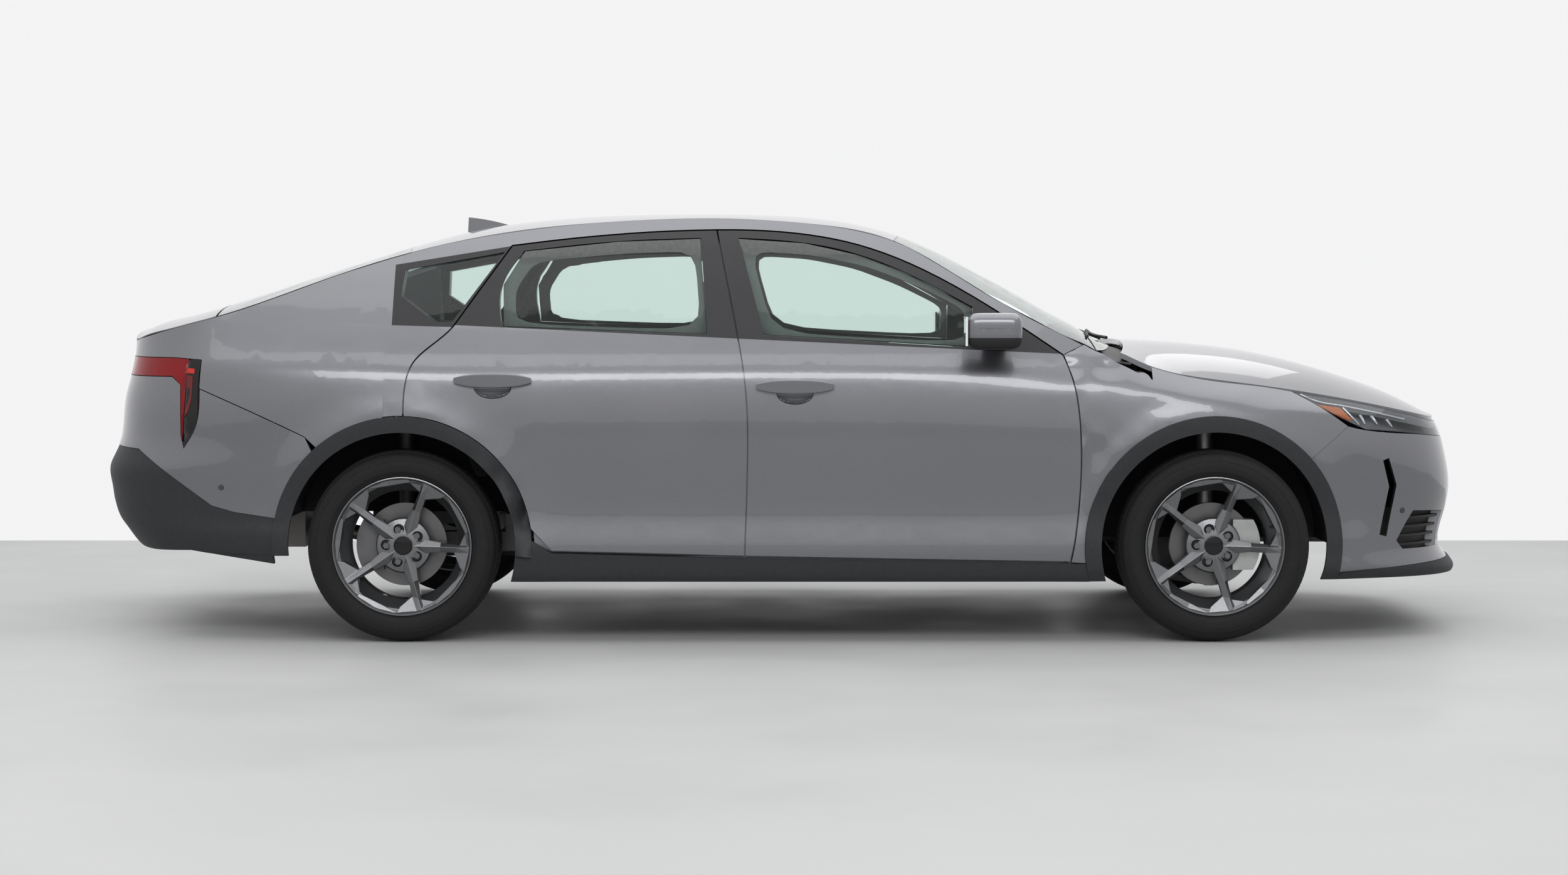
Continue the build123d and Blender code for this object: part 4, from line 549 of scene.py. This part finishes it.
# %% One spoke
blade = {
    "left": (0.030, 0.030, 0.050), "ridge": (0.026, 0.0, 0.066), "right": (0.030, -0.030, 0.050),
    "mid_left": (0.125, 0.0165, 0.058),
    "mid_ridge": (0.125, 0.003, 0.076), "mid_right": (0.125, -0.0150, 0.060),
    "far_left": (0.190, 0.0120, 0.072),
    "far_ridge": (0.190, 0.0045, 0.086), "far_right": (0.172, -0.0150, 0.070),
    "tip": (0.2240, 0.0060, 0.0930), "tip_low": (0.2235, -0.010, 0.0905),
    "wing_out": (0.2110, -0.0760, 0.0905), "wing_in": (0.1945, -0.0620, 0.0800),
    "tip_left": (0.2130, 0.0150, 0.083),
    "bow_left": (0.2080, 0.0560, 0.0800), "bow_out": (0.2170, 0.0560, 0.0895),
    "wing_lip": (0.2131, -0.0767, 0.0925),
    "chord": (0.1622, -0.1295, 0.0860), "chord_lip": (0.1770, -0.1413, 0.0925),
    "end_in": (0.1158, -0.1817, 0.0860),
    "end_out": (0.1217, -0.1910, 0.0925),
}
names = list(blade)
quads = [
    ("left", "ridge", "mid_ridge", "mid_left"), ("ridge", "right", "mid_right", "mid_ridge"),
    ("mid_left", "mid_ridge", "far_ridge", "far_left"),
    ("mid_ridge", "mid_right", "far_right", "far_ridge"), ("far_left", "far_ridge", "tip", "tip_left"),
    ("far_ridge", "tip_low", "tip"),
    ("far_ridge", "far_right", "tip_low"), ("far_right", "wing_in", "wing_out", "tip_low"),
    ("far_left", "tip_left", "bow_left"),
    ("tip_left", "tip", "bow_out", "bow_left"), ("wing_out", "chord", "chord_lip", "wing_lip"),
    ("chord", "end_in", "end_out", "chord_lip"),
]
spoke = drawn(
    "spoke", [(a, -w, b) for a, b, w in blade.values()], [[names.index(n) for n in quad] for quad in quads]
)
open_all(bpy.context.object)
bpy.ops.mesh.extrude_region_move(TRANSFORM_OT_translate={"value": (-0.004, 0.026, 0)})
close()
outwards(spoke)
finish_with(spoke, "BEVEL", width=0.0014, segments=2, limit_method="ANGLE", angle_limit=math.radians(25))
alone(spoke)
bpy.ops.transform.rotate(value=math.radians(-3), orient_axis="Y", center_override=(0, 0, 0))
bpy.ops.object.transform_apply(location=True, rotation=True, scale=True)
open_all(bpy.context.object)
bpy.ops.mesh.spin(steps=4, dupli=True, angle=math.radians(288), center=(0, 0, 0), axis=(0, 1, 0))
close()
print("spokes", len(spoke.data.polygons), "faces")

# %% Barrel, hub and pockets


def turned(name, profile, steps=72):
    """A closed ring or disc turned round the wheel's axle from (radius, outwards) points."""
    ring = drawn(name, [(r, -w, 0) for r, w in profile], [])
    ring.data.edges.add(len(profile) - 1)
    for i, edge in enumerate(ring.data.edges):
        edge.vertices = (i, i + 1)
    open_all(bpy.context.object)
    bpy.ops.mesh.spin(steps=steps, angle=math.tau, center=(0, 0, 0), axis=(0, 1, 0))
    close()
    return outwards(ring)


barrel = turned("barrel", [
    (0.2330, -0.100), (0.2330, -0.095), (0.2180, -0.088), (0.2180, -0.060), (0.190, -0.036), (0.190, 0.026),
    (0.2150, 0.052), (0.2180, 0.086),
    (0.2310, 0.0935), (0.2330, 0.0950), (0.2330, 0.1000), (0.2300, 0.1010), (0.2265, 0.0975),
    (0.2235, 0.0900), (0.2120, 0.0800), (0.2060, 0.060),
    (0.1840, 0.028), (0.1840, -0.038), (0.2110, -0.062), (0.2110, -0.090), (0.2270, -0.100),
    (0.2330, -0.100),
])
hub = turned(
    "hub",
    [
        (0.0, 0.0395), (0.090, 0.0402), (0.094, 0.044), (0.089, 0.0515), (0.074, 0.0560), (0.040, 0.0660),
        (0.0325, 0.0665), (0.0320, 0.0640), (0.0, 0.0640),
    ],
    40,
)
cap = turned(
    "cap",
    [(0.0, 0.060), (0.0312, 0.061), (0.0312, 0.0665), (0.0285, 0.0690), (0.0150, 0.0702), (0.0, 0.0705)],
    40,
)
pocket = turned(
    "pocket",
    [
        (0.0, 0.050), (0.0165, 0.050), (0.0180, 0.0635), (0.0168, 0.0645), (0.0150, 0.0630),
        (0.0145, 0.0622), (0.0, 0.0622),
    ],
    28,
)
bpy.ops.mesh.primitive_cylinder_add(
    vertices=6, radius=0.0072, depth=0.012, location=(0, -0.0615, 0), rotation=(math.pi / 2, 0, 0),
)
nut = bpy.context.object
bpy.ops.object.transform_apply(location=True, rotation=True, scale=True)
finish_with(nut, "BEVEL", width=0.0016, segments=2)
for piece in (barrel, hub, cap, pocket):
    alone(piece)
    bpy.ops.object.shade_smooth_by_angle(angle=math.radians(30))


def five_times(obj, radius, first):
    """Repeats a piece on the bolt circle."""
    alone(obj)
    obj.data.transform(Matrix.Translation((radius * math.cos(first), 0, radius * math.sin(first))))
    open_all(bpy.context.object)
    bpy.ops.mesh.spin(steps=4, dupli=True, angle=math.radians(288), center=(0, 0, 0), axis=(0, 1, 0))
    close()


for piece in (pocket, nut):
    five_times(piece, 0.05715, math.radians(33))
bpy.ops.mesh.primitive_cone_add(
    vertices=16, radius1=0.0042, radius2=0.0030, depth=0.030, location=(0.196, -0.066, 0.062),
    rotation=(math.pi / 2, 0, 0.35),
)
valve = bpy.context.object
bpy.ops.object.transform_apply(location=True, rotation=True, scale=True)
finish_with(valve, "BEVEL", width=0.0008, segments=2)
print("rim pieces ready")

# %% [markdown]
# ## Four wheels
# The pieces of one wheel are joined, keeping their own materials, and copied to the four axle ends. A left wheel is
# the right one turned half round the vertical, so that the blades' order runs the other way, as on the real car.

# %% Place the wheels
for piece, finish in (
    (barrel, rim_paint), (spoke, rim_paint), (hub, rim_paint), (cap, gloss_black), (pocket, gloss_black),
    (nut, bright_cut), (valve, seal_rubber),
):
    wear(piece, finish)
bpy.ops.object.select_all(action="DESELECT")
for piece in (barrel, spoke, hub, cap, pocket, nut, valve):
    piece.select_set(True)
bpy.context.view_layer.objects.active = barrel
bpy.ops.object.join()
star = bpy.context.object
wear(tyre, tyre_rubber)
for end, axle in (("front", FRONT_AXLE), ("rear", REAR_AXLE)):
    for side, sign in SIDES.items():
        place = Matrix.Translation((
            axle, sign * WHEEL_OUT, HUB_HEIGHT,
        )) @ Matrix.Rotation(0 if sign < 0 else math.pi, 4, "Z")
        for model, label, slot, node in (
            (star, "star_rim", "wheel_metal", "rim"), (tyre, "treaded_tyre", "tyre_rubber", "tyre"),
        ):
            copy = model.copy()
            copy.data = model.data.copy()
            bpy.context.scene.collection.objects.link(copy)
            copy.data.transform(place)
            copy.name = copy.data.name = f"{label}_{end}_{side}"
            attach(copy, f"wheel_{end}_{side}")
            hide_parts(f"{node}_{end}_{side}")
for model in (star, tyre):
    bpy.data.objects.remove(model)
print("four wheels placed")

# %% [markdown]
# ## Lamps
# A lamp is a housing under a lens. The CAD lamp is one closed solid, so its copy is cut in two: the outer faces become
# the lens, which gets a thin wall, and the rest is the housing behind it. Small pieces are laid along the lens by
# finding where the lens lies at a place in the side view, and stepping inwards from there.


# %% Lamp shells
def lamp_shell(node, ahead, housing_finish, lens_finish):
    """Splits a smoothed lamp into its housing and its lens, and gives back the lens."""
    housing = smooth_copy(node, housing_finish, 30, f"{node}_housing")
    open_faces(housing, lambda f: f.normal.x * ahead + f.normal.y * math.copysign(1, f.center.y) > 0.75)
    bpy.ops.mesh.separate(type="SELECTED")
    close()
    lens = next(o for o in bpy.context.selected_objects if o is not housing)
    finish_with(lens, "SOLIDIFY", thickness=0.0022, offset=-1)
    wear(lens, lens_finish)
    lens.name = lens.data.name = f"{node}_lens"
    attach(lens, "body")
    return lens


def on_skin(skin, x, z, side, sink=0.0):
    """The place on a skin at a place in the side view, some way inwards. Off its edge, the nearest place on it."""
    hit, normal = ray_onto(skin, (x, side * 2, z), (0, -side, 0))
    if hit is None:
        skin_tree = BVHTree.FromObject(skin, bpy.context.evaluated_depsgraph_get())
        hit, normal, _, _ = skin_tree.find_nearest(Vector((x, side * 0.8, z)))
    if normal.y * side < 0:
        normal = -normal
    return hit - normal * sink


def patch(name, skin, outline, side, sink, deep, finish):
    """A flat piece with an outline drawn in the side view, laid along a skin and some way deep."""
    piece = drawn(name, [on_skin(skin, x, z, side, sink) for x, z in outline], [list(range(len(outline)))])
    finish_with(piece, "SOLIDIFY", thickness=deep, offset=0)
    outwards(piece)
    finish_with(piece, "BEVEL", width=0.0008, segments=2, limit_method="ANGLE")
    return settle(piece, name, "body", finish)


lit_red = clear("lit_red", (0.75, 0.035, 0.02), 0.15, 1.4, 0.2)
deep_glass = clear("deep_glass", (0.16, 0.012, 0.014), 0.10, 1.4, 0.1)
lamp_inside = grained("lamp_inside", (0.16, 0.165, 0.17), 0.36, 60, 0.0002, metallic=0.65, swing=0.1)
tail_inside = grained("tail_inside", (0.42, 0.20, 0.19), 0.30, 60, 0.0002, metallic=0.2, swing=0.1)
front_lens = lamp_shell("headlamps", 1, lamp_inside, lamp_glass)
rear_lens = lamp_shell("tail_lamps", -1, tail_inside, red_lens)
print("lenses", len(front_lens.data.polygons), len(rear_lens.data.polygons))

# %% [markdown]
# ## Inside the headlamps
# A bright bar runs along the top of the lamp, and a slanted one divides it. Behind the divider lies an amber corner,
# and ahead of it three curved fins stand in the dark part of the lamp.


# %% Headlamp pieces
def rod(name, points, radius):
    """A smooth round bar along a few points."""
    curve = bpy.data.curves.new(name, "CURVE")
    curve.dimensions = "3D"
    curve.bevel_depth = radius
    curve.bevel_resolution = 3
    curve.use_fill_caps = True
    spline = curve.splines.new("BEZIER")
    spline.bezier_points.add(len(points) - 1)
    for knot, place in zip(spline.bezier_points, points):
        knot.co = place
        knot.handle_left_type = knot.handle_right_type = "AUTO"
    obj = bpy.data.objects.new(name, curve)
    bpy.context.scene.collection.objects.link(obj)
    alone(obj)
    bpy.ops.object.convert(target="MESH")
    bpy.ops.object.shade_smooth_by_angle(angle=math.radians(40))
    return bpy.context.object


AMBER = [(1.800, 0.797), (1.883, 0.7846), (1.920, 0.744), (1.908, 0.742), (1.850, 0.768)]
FINS = [
    ((1.951, 0.760), (1.965, 0.728)), ((1.992, 0.757), (2.012, 0.7255)), ((2.049, 0.743), (2.067, 0.717)),
]
LAMP_TOP = [(1.735, 0.821), (1.80, 0.809), (1.903, 0.790), (2.02, 0.766), (2.12, 0.742)]
DIVIDER = [(1.893, 0.786), (1.921, 0.754), (1.945, 0.727)]
for side, sign in SIDES.items():
    patch(f"amber_corner_{side}", front_lens, AMBER, sign, 0.006, 0.004, amber_lens)
    for i, ((x, z), (foot_x, foot_z)) in enumerate(FINS):
        middle = (x + foot_x) / 2, (z + foot_z) / 2
        crescent = [
            (x - 0.005, z), (x + 0.005, z + 0.001), (middle[0] + 0.0045, middle[1]),
            (foot_x + 0.003, foot_z),
            (foot_x - 0.001, foot_z), (middle[0] - 0.003, middle[1] - 0.001),
        ]  # fmt: skip
        patch(f"lamp_fin_{i}_{side}", front_lens, crescent, sign, 0.008, 0.008, bright_cut)
    for label, line, radius in (("lamp_top_bar", LAMP_TOP, 0.0035), ("lamp_divider", DIVIDER, 0.0035)):
        bar = rod(label, [on_skin(front_lens, x, z, sign, 0.0065) for x, z in line], radius)
        settle(bar, f"{label}_{side}", "body", bright_cut)
print("headlamps filled")

# %% [markdown]
# ## Inside the tail lamps
# The front edge of each tail lamp is dark glass. It is cut off the lens along a steep plane, and holds a bright red
# reflector at its top over a deep red strip. A bright rib follows the corner where the two glasses meet.

# %% Tail lamp pieces
EDGE_TOP, EDGE_FOOT = (-2.006, 0.90), (-2.024, 0.65)
dark_lens = twin(rear_lens, "tail_lamp_edge", False)
lean = Vector((EDGE_TOP[1] - EDGE_FOOT[1], 0, EDGE_FOOT[0] - EDGE_TOP[0])).normalized()
for piece, ahead in ((rear_lens, True), (dark_lens, False)):
    open_all(piece)
    bpy.ops.mesh.bisect(
        plane_co=(
            EDGE_TOP[0], 0, EDGE_TOP[1],
        ), plane_no=lean, use_fill=True, clear_outer=ahead, clear_inner=not ahead
    )
    close()
settle(dark_lens, "tail_lamp_edge", "body", gloss_black)
for side, sign in SIDES.items():
    reflector = [(-2.002, 0.916), (-1.978, 0.913), (-1.980, 0.897), (-2.003, 0.899)]
    deep_red = [(-2.003, 0.892), (-1.984, 0.890), (-1.988, 0.81), (-2.000, 0.770), (-2.013, 0.752)]
    patch(f"reflector_{side}", dark_lens, reflector, sign, -0.0012, 0.003, lit_red)
    patch(f"deep_red_{side}", dark_lens, deep_red, sign, -0.0010, 0.0026, deep_glass)
print("tail lamps filled")


# %% Small raised blocks
def inset_box(name, size, depth, rim):
    """A block whose front, towards -Y, is inset and pushed in."""
    bpy.ops.mesh.primitive_cube_add(size=1)
    block = alone(bpy.context.object)
    block.scale = size
    bpy.ops.object.transform_apply(location=True, rotation=True, scale=True)
    open_faces(block, lambda f: f.normal.y < -0.9)
    bpy.ops.mesh.inset(thickness=rim, depth=0)
    bpy.ops.mesh.inset(thickness=rim, depth=-depth)
    close()
    finish_with(block, "BEVEL", width=min(size) * 0.08, segments=2)
    block.name = name
    return block


def set_against(piece, skin, x, z, sink, side=-1):
    """Puts a piece that faces -Y against a skin at a place, turned to face the way the skin does there."""
    hit, normal = ray_onto(skin, (x, side * 2, z), (0, -side, 0))
    if normal.y * side < 0:
        normal = -normal
    turn = Vector((0, -1, 0)).rotation_difference(Vector((normal.x, normal.y, 0)).normalized())
    piece.data.transform(Matrix.Translation(hit - normal * sink) @ turn.to_matrix().to_4x4())
    return piece


# %% [markdown]
# ## Door handles
# A handle is a long blade with rounded ends over a shallow scoop in the door skin. The blade is a cube, bevelled and
# tapered towards its ends. The scoop is cut out of the smoothed door with a flattened ball.

# %% Door handles
HANDLES = {"rear_door": (-0.965, 0.873), "front_door": (0.042, 0.853)}
for door, (x, z) in HANDLES.items():
    for side, sign in SIDES.items():
        panel = shown[f"{door}_{side}"]
        y = near_y(panel, x, z, sign)
        bpy.ops.mesh.primitive_uv_sphere_add(
            segments=40, ring_count=20, radius=1, location=(x, y + sign * 0.010, z - 0.016),
        )
        scoop = alone(bpy.context.object)
        scoop.scale = (0.066, 0.026, 0.040)
        bpy.ops.object.transform_apply(location=True, rotation=True, scale=True)
        finish_with(panel, "BOOLEAN", operation="DIFFERENCE", solver="EXACT", object=scoop)
        bpy.data.objects.remove(scoop)
        bpy.ops.mesh.primitive_cube_add(size=1, location=(0, 0, 0))
        grip = alone(bpy.context.object)
        grip.scale = (0.258, 0.024, 0.046)
        bpy.ops.object.transform_apply(location=True, rotation=True, scale=True)
        open_all(bpy.context.object)
        bpy.ops.mesh.subdivide(number_cuts=7)
        close()
        for corner in grip.data.vertices:
            t = abs(corner.co.x) / 0.129
            corner.co.z *= 1 - 0.62 * t**3
            corner.co.y = corner.co.y * (1 - 0.45 * t**2) + -sign * 0.004 * t**2
        finish_with(grip, "SUBSURF", levels=2, render_levels=2)
        bpy.ops.object.shade_smooth()
        turn = math.atan2(near_y(panel, x + 0.14, z, sign) - near_y(panel, x - 0.14, z, sign), 0.28)
        grip.data.transform(Matrix.Translation((x, y + sign * 0.013, z + 0.006)) @ Matrix.Rotation(turn, 4, "Z"))
        settle(grip, f"{door}_handle_{side}", f"{door}_{side}", body_paint)
print("handles on four doors")

# %% [markdown]
# ## Mirrors
# The housing's back is closed by the mirror glass in a thin frame, and a clear turn light runs round the front of it.

# %% Mirror glass and turn light
for side, sign in SIDES.items():
    low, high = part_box(f"door_mirror_{side}")
    glass = inset_box("mirror_glass", (0.118, 0.008, 0.096), 0.001, 0.0025)
    glass.data.transform(Matrix.Translation((low.x - 0.001, sign * 0.975, 1.043)) @ Matrix.Rotation(math.radians(-90), 4, "Z"))
    settle(glass, f"mirror_face_{side}", f"front_door_{side}", mirror_glass)
    bpy.ops.mesh.primitive_cube_add(size=1, location=(0.70, sign * 1.0415, 1.050))
    strip = alone(bpy.context.object)
    strip.scale = (0.105, 0.010, 0.007)
    bpy.ops.object.transform_apply(location=True, rotation=True, scale=True)
    finish_with(strip, "BEVEL", width=0.0025, segments=3)
    settle(strip, f"turn_light_{side}", f"front_door_{side}", lamp_glass)

# %% [markdown]
# ## Ends of the cowl
# Between the hood's rear corner and the foot of the windshield pillar lies a black plate a little under the paint.

# %% Cowl ends
for side, sign in SIDES.items():
    edge = ((1.215, 0.66), (1.165, 0.80))
    near, far = (ray_onto(shown["hood"], (x, sign * y, 2), (0, 0, -1))[0].z - 0.012 for x, y in edge)
    corners = [
        (1.06, 0.66, near + 0.022), (1.215, 0.66, near), (1.165, 0.845, far - 0.016), (1.06, 0.845, far),
    ]
    plate = drawn("cowl_end", [(x, sign * y, z) for x, y, z in corners], [(0, 1, 2, 3)])
    finish_with(plate, "SOLIDIFY", thickness=0.005, offset=0)
    finish_with(outwards(plate), "BEVEL", width=0.001, segments=2)
    settle(plate, f"cowl_end_{side}", "body", black_plastic)

# %% [markdown]
# ## Wipers
# Each wiper is an arm bent from a thin tube, and a blade along the foot of the windshield. A curve with a bevel makes
# such a bar quickly; it becomes a mesh before it is placed.


# %% Wipers
def above_glass(x, y, lift):
    hit, _ = ray_onto(shown["windshield"], (x, y, 2), (0, 0, -1))
    return (x, y, (hit.z if hit else 1.0) + lift)


for i, (first, last) in enumerate((((1.055, -0.62), (1.105, -0.06)), ((1.10, 0.02), (1.06, 0.60)))):
    xs = [first[0] + (last[0] - first[0]) * t / 4 for t in range(5)]
    ys = [first[1] + (last[1] - first[1]) * t / 4 for t in range(5)]
    rubber = rod("wiper_blade", [above_glass(x - 0.012, y, 0.006) for x, y in zip(xs, ys)], 0.005)
    settle(rubber, f"wiper_blade_{i}", "body", seal_rubber)
    arm = rod(
        "wiper_arm",
        [
            above_glass(xs[2] - 0.012, ys[2], 0.014), above_glass(xs[1] + 0.010, ys[1], 0.018),
            above_glass(first[0] + 0.055, first[1] + 0.02, 0.016),
        ],
        0.0055,
    )
    settle(arm, f"wiper_arm_{i}", "body", black_plastic)
print("wipers laid on the glass")

# %% [markdown]
# ## Small things on the bumpers
# Parking sensors are shallow round buttons with a fine gap round them, and the rear plate is a blank pressed sheet.

# %% Sensors and plate
for i, (node, x, z) in enumerate((("rear_bumper", -1.885, 0.517), ("front_bumper", 2.105, 0.432))):
    for side, sign in SIDES.items():
        bpy.ops.mesh.primitive_cylinder_add(
            vertices=32, radius=0.0095, depth=0.004, rotation=(math.pi / 2, 0, 0),
        )
        button = alone(bpy.context.object)
        bpy.ops.object.transform_apply(location=True, rotation=True, scale=True)
        finish_with(button, "BEVEL", width=0.001, segments=2)
        set_against(button, shown[node], x, z, -0.0005, sign)
        settle(button, f"sensor_{i}_{side}", "body", soft_plastic)
plate = inset_box("plate", (0.440, 0.005, 0.130), 0.0008, 0.004)
hit, _ = ray_onto(shown["trunk_lid"], (-4, 0, 0.80), (1, 0, 0))
if hit:
    plate.data.transform(Matrix.Translation((hit.x - 0.004, 0, 0.80)) @ Matrix.Rotation(
        math.radians(-90), 4, "Z",
    ))
settle(
    plate, "blank_plate", "trunk_lid",
    grained("plate_white", (0.62, 0.62, 0.60), 0.4, 80, 0.0002, swing=0.03),
)

# %% [markdown]
# ## Seats
# A seat pad is a block that swells between its corners. Each pad starts as a cube with many cuts, gets its crown and
# its sewn channels by moving the vertices in code, and is subdivided once. It is wrapped in woven cloth.


# %% Pads
def pad(name, size, place, lean, crown, channels=0, body="body"):
    """A crowned cushion of a size at a place, leaning back by some degrees; channels are sewn along its face."""
    bpy.ops.mesh.primitive_cube_add(size=2)
    obj = alone(bpy.context.object)
    open_all(bpy.context.object)
    bpy.ops.mesh.subdivide(number_cuts=15)
    close()
    for corner in obj.data.vertices:
        p = corner.co
        soft = 1 - 0.055 * (abs(p.y) ** 6 + abs(p.z) ** 6)
        swell = (1 - p.y**2) * (1 - p.z**2)
        x = p.x * (0.80 * soft + crown * swell)
        for line in range(channels):
            at = (line + 1) * 2 / (channels + 1) - 1
            x -= math.copysign(0.10, p.x) * math.exp(-(((p.z - at) / 0.035) ** 2)) * (abs(p.x) > 0.9)
        y = p.y * (1 - 0.035 * abs(p.z) ** 4 - 0.02 * abs(p.x) ** 4)
        z = p.z * (1 - 0.035 * abs(p.y) ** 4 - 0.02 * abs(p.x) ** 4)
        corner.co = (x * size[0] / 2, y * size[1] / 2, z * size[2] / 2)
    finish_with(obj, "SUBSURF", levels=1, render_levels=1)
    bpy.ops.object.shade_smooth()
    obj.data.transform(Matrix.Translation(place) @ Matrix.Rotation(math.radians(lean), 4, "Y"))
    settle(obj, name, body, seat_cloth)
    return obj


front_pads = []
for side, sign in SIDES.items():
    y = sign * 0.38
    front_pads += [
        pad(f"front_cushion_{side}", (0.10, 0.47, 0.46), (0.095, y, 0.415), 87, 0.16, 2),
        pad(f"front_back_{side}", (0.105, 0.46, 0.58), (-0.158, y, 0.745), -13, 0.14, 3),
        pad(f"front_headrest_{side}", (0.075, 0.24, 0.15), (-0.248, y, 1.135), -6, 0.16),
    ]
    for k in (-0.05, 0.05):
        post = rod("headrest_post", [(-0.244, y + k, 1.085), (-0.236, y + k, 1.02)], 0.006)
        settle(post, f"headrest_post_{side}_{'in' if k < 0 else 'out'}", "body", bright_cut)
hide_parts("front_seats")
bench = pad("rear_cushion", (0.10, 1.20, 0.42), (-0.72, 0, 0.488), 88, 0.12, 2)
pad("rear_back", (0.105, 1.10, 0.50), (-1.105, 0, 0.765), -20, 0.12, 3)
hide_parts("rear_seat")
print("seats padded")

# %% [markdown]
# ## Inside trim
# The dashboard and the steering wheel keep their CAD shapes, smoothed, in soft plastic and leather. A dark display
# stands on the dashboard.

# %% Inside trim
shown["dashboard"] = smooth_copy("dashboard", soft_plastic)
shown["steering_wheel"] = smooth_copy("steering_wheel", leather, 45)
screen = inset_box("screen", (0.60, 0.012, 0.13), 0.001, 0.003)
screen.data.transform(Matrix.Translation((0.735, 0.16, 0.985)) @ Matrix.Rotation(math.radians(-90), 4, "Z"))
settle(screen, "display", "body", gloss_black)

# %% [markdown]
# ## Door lining
# Through the glass one sees the lining round the windows of the far doors. Its grey is painted shade: the lining's own
# pale grey is darkened for the shade inside the car. On each door it is a ring drawn in code from the window's
# outline, laid a little inside the glass, thickened and bevelled.

# %% Window lining
WINDOW_EDGES = {
    "front_door": [
        (-0.066, 1.028), (-0.150, 1.352), (0.073, 1.337), (0.264, 1.295), (0.452, 1.219), (0.636, 1.120),
        (0.636, 0.989),
    ],
    "rear_door": [
        (-0.255, 1.030), (-0.280, 1.352), (-0.560, 1.342), (-0.876, 1.309), (-0.945, 1.195),
        (-0.939, 1.056),
    ],
}
for door, edge in WINDOW_EDGES.items():
    closed = [Vector(a).lerp(Vector(b), t / 6) for a, b in zip(edge, edge[1:] + edge[:1]) for t in range(6)]
    low = Vector((min(x for x, _ in edge), min(z for _, z in edge)))
    high = Vector((max(x for x, _ in edge), max(z for _, z in edge)))
    wide, tall = high - low
    inset, share = low + Vector((0.042, 0.012)), Vector(((wide - 0.062) / wide, (tall - 0.055) / tall))
    inner = [inset + (p - low) * share for p in closed]
    for _ in range(2):
        inner = [(inner[i - 1] + p * 2 + inner[(i + 1) % len(inner)]) / 4 for i, p in enumerate(inner)]
    for side, sign in SIDES.items():
        pane = BVHTree.FromObject(nodes[f"{door}_window_{side}"], bpy.context.evaluated_depsgraph_get())
        points = [(
            p.x, pane.find_nearest((p.x, sign * 0.8, p.y))[0].y - sign * 0.040, p.y,
        ) for p in closed + inner]
        count = len(closed)
        quads = [(i, (i + 1) % count, count + (i + 1) % count, count + i) for i in range(count)]
        ring = outwards(drawn("window_ring", points, quads))
        finish_with(ring, "SOLIDIFY", thickness=0.006, offset=0)
        finish_with(ring, "BEVEL", width=0.0015, segments=2, limit_method="ANGLE")
        bpy.ops.object.shade_smooth_by_angle(angle=math.radians(32))
        settle(ring, f"{door}_lining_{side}", f"{door}_{side}", painted_shade_lining)

# %% [markdown]
# ## The floor
# A plain pale floor, with a soft noise in its roughness, keeps the car's shadow. It ends a little behind the car,
# where the white wall of the studio starts. It is stage, not part of the car.

# %% Floor
FLOOR_END = 3.1
bpy.ops.mesh.primitive_plane_add(size=40, location=(0, -20 + FLOOR_END, -0.0006))
floor = bpy.context.object
floor.name = "floor"
floor_mat, tree, main, where = shader("studio_floor", (0.50, 0.50, 0.49), 0.6)
tree.links.new(
    blend_colors(tree, noise(tree, where, 0.8), (0.46, 0.46, 0.455), (0.54, 0.54, 0.53)),
    main.inputs["Base Color"],
)
tree.links.new(spread(tree, noise(tree, where, 1.5), 0.42, 0.6), main.inputs["Roughness"])
wear(floor, floor_mat)

# %% Count the triangles
bpy.context.view_layer.update()
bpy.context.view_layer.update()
triangles = sum(sum(len(f.vertices) - 2 for f in o.data.polygons) for o in bpy.data.objects if o.type == "MESH")
print("triangles in all", triangles)
